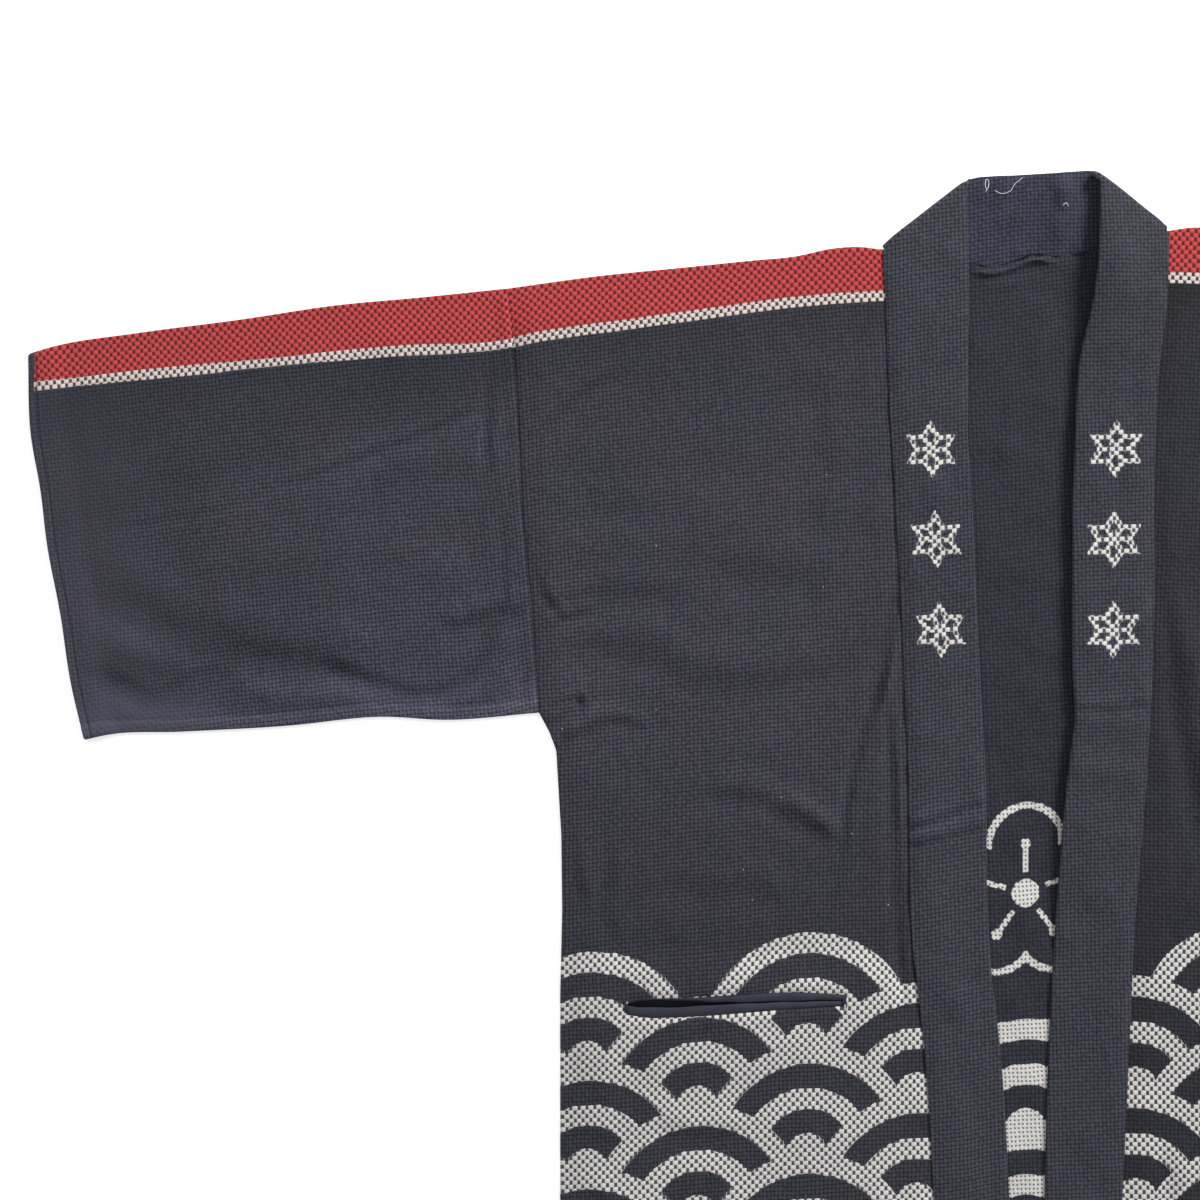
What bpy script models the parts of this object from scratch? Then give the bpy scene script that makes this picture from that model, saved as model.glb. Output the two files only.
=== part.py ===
"""A happi coat laid flat on its back, face up.

The row frame: X runs across the coat (the wearer's left is +X), Y runs from hem to neck, and
Z is up from the surface it lies on. The origin is under the middle of the coat's box.
Every length below is in millimetres. Left and right are the wearer's.
"""

import math

import bpy
import numpy as np

MM = 0.001

# ---------------------------------------------------------------- driving sizes

CLOTH = 1.2            # wall of the coat's cotton
GAP = 0.3              # between two walls that are sewn or lie together
STEP = CLOTH + GAP     # from one layer of cloth to the next
COLLAR = 2.4           # wall of the doubled collar band
POCKETING = 1.0        # wall of the smooth cloth of the pocket
BAND_RADIUS = (COLLAR + 0.6) / 2   # of the collar's slanted folds, at the middle of its wall

HEM = -424.6           # height of the hem at the side seams
HEM_RISE = 12.0        # how much higher the hem lies at the centre
HEM_TURNING = 20.0     # depth of the hem's turn-up
CUFF_TURNING = 10.0    # depth of the cuff's turn-in
SHOULDER_TURNING = 6.0     # how far the fronts reach over the shoulder to the back
COLLAR_OVERLAP = 8.0   # how far a front's edge goes in under the collar
NECK_OVERLAP = 1.6     # the same close to the shoulder
NECK_NARROWING = 40.0  # the overlap narrows over this length below the shoulder
SIDE_OUT = 304.6       # widest place of the body, half of it

LEFT_LIFT = 12.4       # the left shoulder lies this much higher than the right
LEFT_LIFT_SLOPE = 0.02     # and its sleeve gains this much on the way out
NECK_OUT = 93.0        # half of the neck, where the shoulder starts
NECK_UP = 375.0
NECK_CORNER = 92.1     # where the back's edge steps up from the shoulder to the neck seam

# ---------------------------------------------------------------- the outline
# Each table runs in the order that its name gives. out is the distance from the centre
# line, up the height above the middle of the box. The left side is the right side mirrored
# and lifted.

SHOULDER = [  # neck to armhole
    # out, up
    (92.5, 373.0),
    (109.4, 375.0),
    (126.0, 374.0),
    (151.0, 368.8),
    (180.0, 366.0),
    (222.7, 361.6),
    (276.4, 356.3),
    (339.0, 347.8),
]
SIDE = [  # armhole, underarm and side seam, shoulder to hem
    # out, up
    (339.0, 347.8),
    (333.4, 284.9),
    (329.5, 195.8),
    (322.3, 143.4),
    (320.3, 104.8),
    (319.0, 69.5),
    (311.8, 57.0),
    (307.2, 45.0),
    (303.9, -10.5),
    (303.3, -60.0),
    (304.6, -116.0),
    (304.6, -250.0),
    (302.0, -425.0),
]
SLEEVE_TOP = [  # cuff to armhole
    # out, up
    (653.7, 304.6),
    (636.7, 309.8),
    (584.3, 318.3),
    (514.2, 327.5),
    (452.6, 336.7),
    (396.9, 341.9),
    (339.4, 347.8),
]
SLEEVE_BOTTOM = [  # cuff to underarm
    # out, up
    (617.0, 51.7),
    (601.9, 55.0),
    (554.8, 57.0),
    (484.7, 60.9),
    (421.8, 66.8),
    (379.9, 64.8),
    (319.4, 69.5),
]
CUFF = [  # shoulder to underside
    # out, up
    (653.7, 304.6),
    (652.0, 254.8),
    (645.2, 214.8),
    (641.0, 180.1),
    (632.1, 133.0),
    (625.0, 86.5),
    (617.0, 51.7),
]
# The collar band: where its seam and its free edge run at each height, on both sides.
COLLAR_SEAM = [  # hem to shoulder
    # up, right side's out, left side's out
    (-425.0, 52.0, 55.0),
    (-290.0, 58.5, 61.0),
    (-150.0, 66.8, 67.5),
    (-77.0, 74.7, 70.8),
    (28.0, 77.3, 79.0),
    (124.5, 81.2, 83.6),
    (222.0, 86.5, 84.0),
    (289.0, 90.4, 86.6),
    (340.0, 92.0, 92.4),
    (374.0, 94.2, 93.6),
    (390.0, 94.6, 93.6),
]
COLLAR_FREE = [  # hem to shoulder
    # up, right side's out, left side's out
    (-425.0, 3.0, 5.4),
    (-290.0, 9.0, 11.0),
    (-150.0, 17.0, 17.0),
    (-90.0, 23.6, 20.0),
    (39.0, 26.9, 26.8),
    (117.0, 31.4, 31.2),
    (209.0, 35.4, 29.6),
    (250.0, 38.0, 31.0),
    (300.0, 38.0, 34.2),
    (340.0, 37.6, 42.0),
    (388.0, 38.6, 46.0),
    (426.0, 39.6, 47.6),
]
# The two slanted folds of the band, from its seam edge to its free edge, and the edges of
# the stretch behind the neck between them.
RIGHT_FOLD = ((-94.6, 376.4), (-39.6, 419.0))
LEFT_FOLD = ((93.6, 388.6), (47.6, 424.2))
NECK_SEAM = [  # right shoulder to left shoulder
    # across, up
    (-60.0, 368.6),
    (-36.0, 364.0),
    (-23.6, 361.4),
    (-9.2, 365.0),
    (4.6, 370.6),
    (19.0, 368.4),
    (32.0, 369.6),
    (60.0, 377.4),
]
NECK_TOP = [  # right fold to left fold
    # across, up
    (-30.8, 420.6),
    (-9.2, 420.9),
    (19.0, 422.6),
    (38.6, 425.0),
]

# ---------------------------------------------------------------- the largest folds
# Soft ridges (height above 0) and troughs (below 0) of the upper layer, each from one place
# to another on the right side, with a bow to its left and a half width.

SLEEVE_FOLDS = [
    # from out, from up, to out, to up, bow, half width, height
    (520.0, 170.0, 430.0, 190.0, 0.0, 110.0, 3.4),
    (596.0, 140.0, 344.0, 140.0, -46.0, 20.0, -3.0),
    (560.0, 88.0, 380.0, 82.0, -6.0, 20.0, 2.6),
    (600.0, 240.0, 600.0, 110.0, 0.0, 22.0, 1.6),
]
FRONT_FOLDS = [
    # from out, from up, to out, to up, bow, half width, height
    (220.0, 210.0, 180.0, 90.0, 0.0, 100.0, 2.8),
    (300.0, 122.0, 180.0, 92.0, 14.0, 16.0, -1.8),
    (300.0, 96.0, 230.0, 60.0, 8.0, 16.0, 2.0),
    (218.0, 18.0, 132.0, -14.0, 10.0, 14.0, 1.8),
    (98.0, 100.0, 124.0, -54.0, 0.0, 13.0, 2.0),
]

# ---------------------------------------------------------------- the pocket

SLIT_OUT = (118.6, 262.0)      # its two ends
SLIT_UP = -121.3               # its middle
SLIT_DEPTH = 9.8
SLIT_MOUTH = 0.8               # between the two welts
BAG_OUT = (110.0, 270.0)
BAG_DEPTH = 150.0
BAG_MOUTH = 2.0                # from the slit's lower edge down to the bag's upper layer
BAG_BACK = 4.0                 # from its upper edge up to the top of the lower layer
BAG_FOLDED = 40.0              # where the lower layer's first row stands above the fold
BAG_LIFT = 2 * POCKETING + 2 * GAP     # what the bag raises the front by
BAG_EASE = 5.0                 # the front stays up this far beyond the bag's sides
BAG_ABOVE = 14.0               # this far above the slit
BAG_BELOW = 8.0                # this far below the bag
BAG_SLOPE = 26.0               # and takes this far to come down again


# ---------------------------------------------------------------- sheets of cloth


def along(table, key, value=1):
    """A smooth curve through two columns of a table: gives the value for a key."""
    rows = sorted(table, key=lambda row: row[0])
    x = np.array([row[0] for row in rows])
    y = np.array([row[value] for row in rows])
    slope = np.gradient(y, x)
    k = np.clip(np.searchsorted(x, key) - 1, 0, len(x) - 2)
    h = x[k + 1] - x[k]
    t = np.clip((key - x[k]) / h, 0.0, 1.0)
    return (
        (2 * t**3 - 3 * t**2 + 1) * y[k]
        + (t**3 - 2 * t**2 + t) * h * slope[k]
        + (3 * t**2 - 2 * t**3) * y[k + 1]
        + (t**3 - t**2) * h * slope[k + 1]
    )


def straight_along(table, key, value=1):
    """The same with straight stretches between the rows."""
    rows = sorted(table, key=lambda row: row[0])
    return np.interp(key, [row[0] for row in rows], [row[value] for row in rows])


def swapped(table):
    return [(row[1], row[0]) for row in table]


def smooth(x):
    """0 below 0, 1 above 1 and a soft rise between."""
    x = np.clip(x, 0.0, 1.0)
    return x * x * (3 - 2 * x)


def relief(folds, out, up):
    """Height of the upper layer above its lowest, from the table of folds."""
    total = np.zeros(np.shape(out))
    for x0, y0, x1, y1, bow, half, height in folds:
        dx, dy = x1 - x0, y1 - y0
        length = math.hypot(dx, dy)
        t = ((out - x0) * dx + (up - y0) * dy) / length**2
        t_in = np.clip(t, 0.0, 1.0)
        side = bow * 4 * t_in * (1 - t_in)
        px = x0 + dx * t_in - dy / length * side
        py = y0 + dy * t_in + dx / length * side
        far = np.hypot(out - px, up - py) / half
        total = total + height * np.exp(-far**2)
    return np.maximum(total, 0.0)


def left_lift(out, up):
    """How much higher a place on the left side lies than its mirror image."""
    grown = LEFT_LIFT + LEFT_LIFT_SLOPE * (out - NECK_OUT)
    return grown * (up - HEM) / (NECK_UP - HEM)


def hem_height(out):
    return HEM + HEM_RISE * (1 - (out / SIDE_OUT) ** 2)


def new_object(name, points, faces, material):
    mesh = bpy.data.meshes.new(name)
    mesh.from_pydata([tuple(p * MM) for p in points], [], faces)
    mesh.validate()
    mesh.materials.append(material)
    obj = bpy.data.objects.new(name, mesh)
    bpy.context.scene.collection.objects.link(obj)
    mesh.shade_smooth()
    mesh.set_sharp_from_angle(angle=math.radians(40))
    return obj


def wall(name, middle, normal, thickness, material, ring=False, window=None):
    """A closed wall about a grid of middle points, half its thickness to each side.

    ring joins the last column to the first. window leaves out the cells between two rows and
    two columns, for a slit.
    """
    down, across = np.diff(middle, axis=0)[:, :-1], np.diff(middle, axis=1)[:-1]
    if np.sum(np.cross(across, down) * normal[:-1, :-1]) < 0:
        middle, normal = middle[::-1], normal[::-1]
        if window:
            last_row = len(middle) - 1
            window = (last_row - window[1], last_row - window[0], window[2], window[3])
    rows, columns = middle.shape[:2]
    outer = middle + normal * (thickness / 2)
    inner = middle - normal * (thickness / 2)
    points = np.concatenate([outer.reshape(-1, 3), inner.reshape(-1, 3)])
    other = rows * columns
    last = columns if ring else columns - 1
    cells = {(i, j) for i in range(rows - 1) for j in range(last)}
    if window:
        row_0, row_1, column_0, column_1 = window
        cells -= {(i, j) for i in range(row_0, row_1) for j in range(column_0, column_1)}

    def at(i, j):
        return i * columns + j % columns

    edges = {}
    faces = []
    for i, j in sorted(cells):
        corners = [at(i, j), at(i, j + 1), at(i + 1, j + 1), at(i + 1, j)]
        faces.append(corners)
        faces.append([other + c for c in reversed(corners)])
        for a, b in zip(corners, corners[1:] + corners[:1]):
            if (b, a) in edges:
                del edges[(b, a)]
            else:
                edges[(a, b)] = True
    for a, b in edges:
        faces.append([b, a, other + a, other + b])
    return new_object(name, points, faces, material)


def flat_normals(middle, up=1.0):
    normal = np.zeros_like(middle)
    normal[..., 2] = up
    return normal


def edge_outward(line, towards):
    """Level unit vectors square to a line of points, on the side of the given vector."""
    tangent = np.gradient(line[:, :2], axis=0)
    out = np.stack([-tangent[:, 1], tangent[:, 0]], axis=1)
    out /= np.linalg.norm(out, axis=1)[:, None]
    out *= np.sign(out @ np.array(towards))[:, None]
    return np.column_stack([out, np.zeros(len(line))])


def turn(line, normal, outward, radius, angles):
    """Rows of cloth that turn round an edge, from a line on the layer's middle."""
    rows, normals = [], []
    for angle in angles:
        c, s = math.cos(math.radians(angle)), math.sin(math.radians(angle))
        rows.append(line + radius * (c * outward + (s - 1) * normal))
        normals.append(c * outward + s * normal)
    return rows, normals


# ---------------------------------------------------------------- the fronts and the back

NECK_POINT = SHOULDER[0][0]
SHOULDER_POINT, SHOULDER_END = SHOULDER[-1]
BENDS = [(SHOULDER_END - up) / (SHOULDER_END - HEM) for _, up in SIDE[:-2]]
BODY_LEVELS = sorted(BENDS + [0.03, 0.14, 0.23, 0.56])
LOWER_LEVELS = [0.66, 0.74, 0.822, 0.86, 0.94, 0.965, 1.0]
TURN_ANGLES = (30.0, -30.0, -90.0)     # stations of cloth that turns round an edge
TURN_REACH = STEP / 2 + CLOTH / 2      # from a turned edge to the start of its turn
HEM_ZONE = 34.0        # the turn-up and the way down from it
TURN_EASE = 2.0        # a layer stays up this far beyond a turning below it
NECK_STEP = 1.1        # way of the back's edge from the shoulder to the neck seam
# The folds fade out over these lengths towards the edges of a front.
HEM_CALM = 120.0
NECK_CALM = (30.0, 60.0)       # from the neck point, and over
SEAM_CALM = (2.0, 26.0)        # from the collar's seam, and over
SIDE_CALM = 30.0


def collar_seam(up, side):
    return along(COLLAR_SEAM, up, 1 if side < 0 else 2)


def collar_free(up, side):
    return along(COLLAR_FREE, up, 1 if side < 0 else 2)


def front_edge(up, side):
    """Where a front's edge lies under the collar."""
    tuck = COLLAR_OVERLAP * smooth((NECK_UP - up) / NECK_NARROWING)
    return collar_seam(up, side) - NECK_OVERLAP - tuck


def shoulder_height(out, side):
    up = along(SHOULDER, out)
    return up + (left_lift(out, up) if side > 0 else 0.0)


def side_out(up):
    return straight_along(swapped(SIDE), up)


def panel_place(s, t, side):
    """A place on a front: s from the side seam to the centre, t from shoulder to hem."""
    out = SHOULDER_POINT + (NECK_POINT - SHOULDER_POINT) * s
    for _ in range(6):
        top = shoulder_height(np.clip(out, NECK_POINT, SHOULDER_POINT), side)
        up = top + (hem_height(out) - top) * t
        low = up - (left_lift(out, up) if side > 0 else 0.0)
        out = side_out(low) + (front_edge(up, side) - side_out(low)) * s
    return out, up


def bag_rise(out, up):
    """0 away from the pocket bag and 1 over it."""
    inner, outer = BAG_OUT[0] - BAG_EASE, BAG_OUT[1] + BAG_EASE
    over = smooth(1 + (out - inner) / BAG_SLOPE) * smooth(1 + (outer - out) / BAG_SLOPE)
    top, bottom = SLIT_UP + BAG_ABOVE, SLIT_UP - BAG_DEPTH - BAG_BELOW
    return over * smooth(1 + (top - up) / BAG_SLOPE) * smooth(1 + (up - bottom) / BAG_SLOPE)


def hem_rise(out, up):
    """0 above the hem's turn-up and 1 over it."""
    above = up - hem_height(out) - HEM_TURNING - TURN_EASE
    return smooth(1 - above / (HEM_ZONE - HEM_TURNING))


def front_middle(out, up, side):
    """Height of the middle of a front's wall."""
    calm = smooth((up - HEM) / HEM_CALM)
    calm = calm * smooth((NECK_UP - NECK_CALM[0] - up) / NECK_CALM[1])
    calm = calm * smooth((out - collar_seam(up, side) - SEAM_CALM[0]) / SEAM_CALM[1])
    calm = calm * smooth((side_out(up) - out) / SIDE_CALM)
    low = up - (left_lift(out, up) if side > 0 else 0.0)
    height = STEP + CLOTH / 2 + relief(FRONT_FOLDS, out, low) * calm
    height = height + 2 * STEP * hem_rise(out, up)
    if side < 0:
        height = height + BAG_LIFT * bag_rise(out, up)
    return height


def slit_levels():
    """The two levels of a right front that the pocket's slit lies between."""
    middle_out = sum(SLIT_OUT) / 2
    top = shoulder_height(middle_out, -1)
    length = top - hem_height(middle_out)
    centre = (top - SLIT_UP) / length
    half = SLIT_DEPTH / 2 / length
    return centre - half, centre + half


def slit_shares():
    """The two shares of a right front's width that the slit lies between."""
    shares = []
    for end in reversed(SLIT_OUT):
        edge = front_edge(SLIT_UP, -1)
        shares.append((side_out(SLIT_UP) - end) / (side_out(SLIT_UP) - edge))
    return shares


def front_shares():
    """The shares of a front's width that its columns stand at, side seam to centre."""
    share_0, share_1 = slit_shares()
    slit = np.linspace(share_0, share_1, 5)
    return np.concatenate([[0.0, share_0 - 0.055], slit, [0.825, 0.89, 0.955, 1.0]])


def shoulder_row(side):
    """A front's points along the shoulder, its folded edge, and the level way out there."""
    shares = front_shares()
    out, up = panel_place(shares, np.zeros(len(shares)), side)
    row = np.stack([out * side, up, front_middle(out, up, side)], axis=-1)
    return row, edge_outward(row, (0.0, 1.0))


def front(name, side, material):
    """One front: shoulder turning, panel and hem turn-up in one piece of cloth."""
    slit_top, slit_bottom = slit_levels()
    levels = np.array(BODY_LEVELS + [slit_top, slit_bottom] + LOWER_LEVELS)
    s, t = np.meshgrid(front_shares(), levels)
    out, up = panel_place(s, t, side)
    panel = np.stack([out * side, up, front_middle(out, up, side)], axis=-1)

    radius = STEP / 2
    panel[0], shoulder_out = shoulder_row(side)
    panel[0] -= shoulder_out * TURN_REACH
    hem_out = edge_outward(panel[-1], (0.0, -1.0))
    panel[-1] -= hem_out * TURN_REACH
    up_normal = flat_normals(panel)

    over, over_normals = turn(panel[0], up_normal[0], shoulder_out, radius, TURN_ANGLES)
    lip = over[-1] - shoulder_out * SHOULDER_TURNING
    hem, hem_normals = turn(panel[-1], up_normal[-1], hem_out, radius, TURN_ANGLES)
    turned = hem[-1] - hem_out * HEM_TURNING
    middle = np.stack([lip] + over[::-1] + list(panel) + hem + [turned])
    normal = np.stack(
        [over_normals[-1]] + over_normals[::-1] + list(up_normal) + hem_normals
        + [hem_normals[-1]]
    )
    first = 1 + len(over) + len(BODY_LEVELS)
    window = (first, first + 1, 2, 6) if side < 0 else None
    return wall(name, middle, normal, CLOTH, material, window=window)


def neck_seam_edge():
    """The lower edge of the collar's stretch behind the neck, shoulder to shoulder."""
    return [inset_fold(RIGHT_FOLD)[0][0]] + NECK_SEAM + [inset_fold(LEFT_FOLD)[0][0]]


def inset_fold(fold):
    """The axis of a slanted fold, its outer line moved in by its reach, and its way out."""
    (x_0, y_0), (x_1, y_1) = fold
    length = math.hypot(x_1 - x_0, y_1 - y_0)
    out = np.array([y_0 - y_1, x_1 - x_0]) / length
    out *= math.copysign(1.0, out[1])
    reach = BAND_RADIUS + COLLAR / 2
    axis = [(x - out[0] * reach, y - out[1] * reach) for x, y in fold]
    return axis, out


def back_top():
    """The back's upper edge: under the shoulders' turnings, and along the neck seam."""
    wings = {}
    for side in (-1, 1):
        row, outward = shoulder_row(side)
        row = row - outward * (TURN_REACH + SHOULDER_TURNING + GAP)
        row[-1, 0] = side * NECK_CORNER
        wings[side] = row[:, :2]
    seam = neck_seam_edge()
    end = NECK_CORNER - NECK_STEP
    neck = [(-end, straight_along(seam, -end))] + NECK_SEAM + [(end, straight_along(seam, end))]
    neck = np.array(neck) - [0.0, GAP]
    return np.concatenate([wings[-1], neck, wings[1][::-1]])


def back(name, material):
    """The back in one width, with its hem turned up on the inside."""
    top = back_top()
    widest = abs(top[0, 0])
    bends = [(top[0, 1] - up) / (top[0, 1] - HEM) for _, up in SIDE[1:-5]]
    levels = [0.0] + bends + [0.53, 0.77, 0.95, 1.0]
    rows = []
    for t in levels:
        row = []
        for x, top_up in top:
            low = hem_height(x * side_out(HEM) / widest)
            up = top_up + (low - top_up) * t
            lifted = left_lift(abs(x), up) if x > 0 else 0.0
            row.append((x * side_out(up - lifted) / widest, up, CLOTH / 2))
        rows.append(row)
    panel = np.array(rows)
    panel[0, :, :2] = top
    radius = STEP / 2
    hem_out = edge_outward(panel[-1], (0.0, -1.0))
    panel[-1] -= hem_out * TURN_REACH
    down = flat_normals(panel, -1.0)
    hem, hem_normals = turn(panel[-1], down[-1], hem_out, radius, TURN_ANGLES)
    turned = hem[-1] - hem_out * HEM_TURNING
    middle = np.stack(list(panel) + hem + [turned])
    normal = np.stack(list(down) + hem_normals + [hem_normals[-1]])
    return wall(name, middle, normal, CLOTH, material)


# ---------------------------------------------------------------- the sleeves

SLEEVE_SHARES = [0.0, 0.033, 0.05, 0.09, 0.19, 0.30, 0.41, 0.53, 0.65, 0.77, 0.89, 1.0]
HOLE_BENDS = [(SHOULDER_END - up) / (SHOULDER_END - SIDE[5][1]) for _, up in SIDE[:6]]
UPPER_SHARES = sorted(HOLE_BENDS + [0.08, 0.15, 0.33, 0.44, 0.64])
UNDER_SHARES = HOLE_BENDS[::-1]
SLEEVE_LENGTH = 314.0
CUFF_ZONE = 24.0       # the turn-in and the way down from it
FOLD_ANGLES = (45.0, 0.0, -45.0)       # stations of the folds along the sleeve
# The folds of the cloth fade out over these shares of the sleeve, and from the cuff.
TOP_CALM, LOW_CALM, HOLE_CALM = 0.2, 0.1, 0.1
CUFF_CALM = 60.0


def sleeve_place(s, t):
    """A place on the right sleeve: s from cuff to armhole, t from shoulder to underside."""
    top_out = SLEEVE_TOP[0][0] + (SLEEVE_TOP[-1][0] - SLEEVE_TOP[0][0]) * s
    low_out = SLEEVE_BOTTOM[0][0] + (SLEEVE_BOTTOM[-1][0] - SLEEVE_BOTTOM[0][0]) * s
    top_up, low_up = along(SLEEVE_TOP, top_out), along(SLEEVE_BOTTOM, low_out)
    cuff_up = CUFF[0][1] + (CUFF[-1][1] - CUFF[0][1]) * t
    hole_up = SLEEVE_TOP[-1][1] + (SLEEVE_BOTTOM[-1][1] - SLEEVE_TOP[-1][1]) * t
    cuff_out = along(swapped(CUFF), cuff_up)
    hole_out = side_out(hole_up) + GAP
    out = (1 - s) * cuff_out + s * hole_out
    up = (1 - t) * top_up + t * low_up
    return out, up


def sleeve(name, side, material):
    """One sleeve: a flattened tube, its fold on top, its seam below, its cuff turned in."""
    loops, normals = [], []
    for s in SLEEVE_SHARES:
        from_cuff = s * SLEEVE_LENGTH
        beyond = from_cuff - CUFF_TURNING - TURN_EASE
        layers = 1.0 + 2.0 * smooth(1 - beyond / (CUFF_ZONE - CUFF_TURNING))
        radius = layers * STEP / 2
        reach = radius + CLOTH / 2
        place = [np.array(sleeve_place(s, t), dtype=float) for t in (0.0, 1.0)]
        slant = (place[0] - place[1]) / np.linalg.norm(place[0] - place[1])
        top, low = place[0] - slant * reach, place[1] + slant * reach
        outward = np.array([slant[0], slant[1], 0.0])
        up = np.array([0.0, 0.0, 1.0])
        loop, normal = [], []
        for t in UPPER_SHARES:
            x, y = sleeve_place(s, t)
            x, y = np.array([x, y]) + (top - place[0]) * (1 - t) + (low - place[1]) * t
            calm = smooth(t / TOP_CALM) * smooth((1 - t) / LOW_CALM) * smooth((1 - s) / HOLE_CALM)
            puff = relief(SLEEVE_FOLDS, x, y) * calm * smooth(from_cuff / CUFF_CALM)
            loop.append((x, y, CLOTH / 2 + 2 * radius + float(puff)))
            normal.append(up)
        for angle in FOLD_ANGLES:
            c, n = math.cos(math.radians(angle)), math.sin(math.radians(angle))
            centre = np.array([low[0], low[1], CLOTH / 2 + radius])
            direction = -c * outward + n * up
            loop.append(tuple(centre + radius * direction))
            normal.append(direction)
        for t in UNDER_SHARES:
            x, y = sleeve_place(s, t)
            x, y = np.array([x, y]) + (top - place[0]) * (1 - t) + (low - place[1]) * t
            loop.append((x, y, CLOTH / 2))
            normal.append(-up)
        for angle in reversed(FOLD_ANGLES):
            c, n = math.cos(math.radians(angle)), math.sin(math.radians(angle))
            centre = np.array([top[0], top[1], CLOTH / 2 + radius])
            direction = c * outward + n * up
            loop.append(tuple(centre + radius * direction))
            normal.append(direction)
        loops.append(np.array(loop))
        normals.append(np.array(normal))

    # The cuff: the cloth turns in all round and lies on the inside of the tube.
    across_cuff = np.array([CUFF[0][0] - CUFF[-1][0], CUFF[0][1] - CUFF[-1][1]])
    across_cuff /= np.linalg.norm(across_cuff)
    cuff_out = np.tile([across_cuff[1], -across_cuff[0], 0.0], (len(loops[0]), 1))
    radius = STEP / 2
    loops[0] = loops[0] - cuff_out * (radius + CLOTH / 2)
    turned, turned_normals = turn(loops[0], normals[0], cuff_out, radius, TURN_ANGLES)
    last = turned[-1] - cuff_out * CUFF_TURNING
    middle = np.stack([last] + turned[::-1] + loops)
    normal = np.stack([turned_normals[-1]] + turned_normals[::-1] + normals)
    if side > 0:
        middle[..., 1] += left_lift(middle[..., 0], middle[..., 1])
    else:
        middle[..., 0] *= -1
        normal[..., 0] *= -1
    return wall(name, middle, normal, CLOTH, material, ring=True)


# ---------------------------------------------------------------- the collar band

BAND_SHARES = [0.0, 0.16, 0.4, 0.7, 1.0]
FRONT_STRETCH_ROWS = 24
ROW_CROWDING = 0.92    # rows stand a little closer by the neck than by the hem
BAND_HIGH = COLLAR / 2 + 2 * BAND_RADIUS   # middle of the upper stretch at the neck
BAND_RISE = (290.0, 50.0)      # it rises to that from this height, over this length
BAND_STEP = (0.2, 0.6)         # share of its width where it leaves the front, and over
BAND_EASE = 0.2                # more than the layers below it need
REACHED = (-26.0, -13.0, 0.0, 13.0, 26.0)      # a row clears what lies this far from it
BAND_FOLD_ANGLES = (50.0, 0.0, -50.0)


def front_stretch(side, fold):
    """Rows of the band up one front, from the hem to the slanted fold's axis."""
    (seam_x, seam_y), (free_x, free_y) = fold
    rows = []
    start = hem_height(0.0) - 1.0
    for q in np.linspace(0.0, 1.0, FRONT_STRETCH_ROWS) ** ROW_CROWDING:
        seam_up = start + (seam_y - start) * q
        free_up = start + (free_y - start) * q
        x_0 = seam_x if q == 1.0 else side * collar_seam(seam_up, side)
        x_1 = free_x if q == 1.0 else side * collar_free(free_up, side)
        row = []
        for w in BAND_SHARES:
            x, y = x_0 + (x_1 - x_0) * w, seam_up + (free_up - seam_up) * w
            front_out = max(abs(x), front_edge(y, side))
            near = y + np.array(REACHED)
            on_front = front_middle(front_out, near, side).max() + (CLOTH + COLLAR) / 2 + GAP
            on_back = STEP + COLLAR / 2 + STEP * hem_rise(0.0, near).max() + BAND_EASE
            low = on_front + (on_back - on_front) * smooth((w - BAND_STEP[0]) / BAND_STEP[1])
            near_neck = smooth((y - BAND_RISE[0]) / BAND_RISE[1])
            row.append((x, y, low + (BAND_HIGH - low) * near_neck))
        rows.append(row)
    return np.array(rows)


def collar(name, material):
    """The band from hem to hem: up one front, round behind the neck and down the other."""
    right_axis, right_out = inset_fold(RIGHT_FOLD)
    left_axis, left_out = inset_fold(LEFT_FOLD)
    right = front_stretch(-1, right_axis)
    left = front_stretch(1, left_axis)
    up = np.array([0.0, 0.0, 1.0])

    top = [right_axis[1]] + NECK_TOP + [left_axis[1]]
    seam = neck_seam_edge()
    neck = []
    for seam_x, seam_y in seam:
        share = (seam_x - seam[0][0]) / (seam[-1][0] - seam[0][0])
        top_x = top[0][0] + (top[-1][0] - top[0][0]) * share
        a, b = np.array([seam_x, seam_y]), np.array([top_x, straight_along(top, top_x)])
        neck.append([(*(a + (b - a) * w), COLLAR / 2) for w in BAND_SHARES])
    neck = np.array(neck)

    def round_fold(line, out):
        outward = np.tile([out[0], out[1], 0.0], (len(line), 1))
        upward = np.tile(up, (len(line), 1))
        return turn(line, upward, outward, BAND_RADIUS, BAND_FOLD_ANGLES)

    right_turn, right_normals = round_fold(right[-1], right_out)
    left_turn, left_normals = round_fold(left[-1], left_out)
    middle = np.stack(list(right) + right_turn + list(neck) + left_turn[::-1] + list(left[::-1]))
    flat = np.tile(up, (len(BAND_SHARES), 1))
    normal = np.stack(
        [flat] * len(right) + right_normals + [-flat] * len(neck) + left_normals[::-1]
        + [flat] * len(left)
    )
    return wall(name, middle, normal, COLLAR, material)


# ---------------------------------------------------------------- the pocket

WELT_POINTS = 7        # along a welt


def slit_row(t):
    """Points along the slit at one level of the front, a gap in from its ends."""
    share_0, share_1 = slit_shares()
    inset = GAP / (side_out(SLIT_UP) - front_edge(SLIT_UP, -1))
    shares = np.linspace(share_0 + inset, share_1 - inset, WELT_POINTS)
    out, up = panel_place(shares, np.full(WELT_POINTS, t), -1)
    return np.stack([-out, up, front_middle(out, up, -1)], axis=-1)


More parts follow.
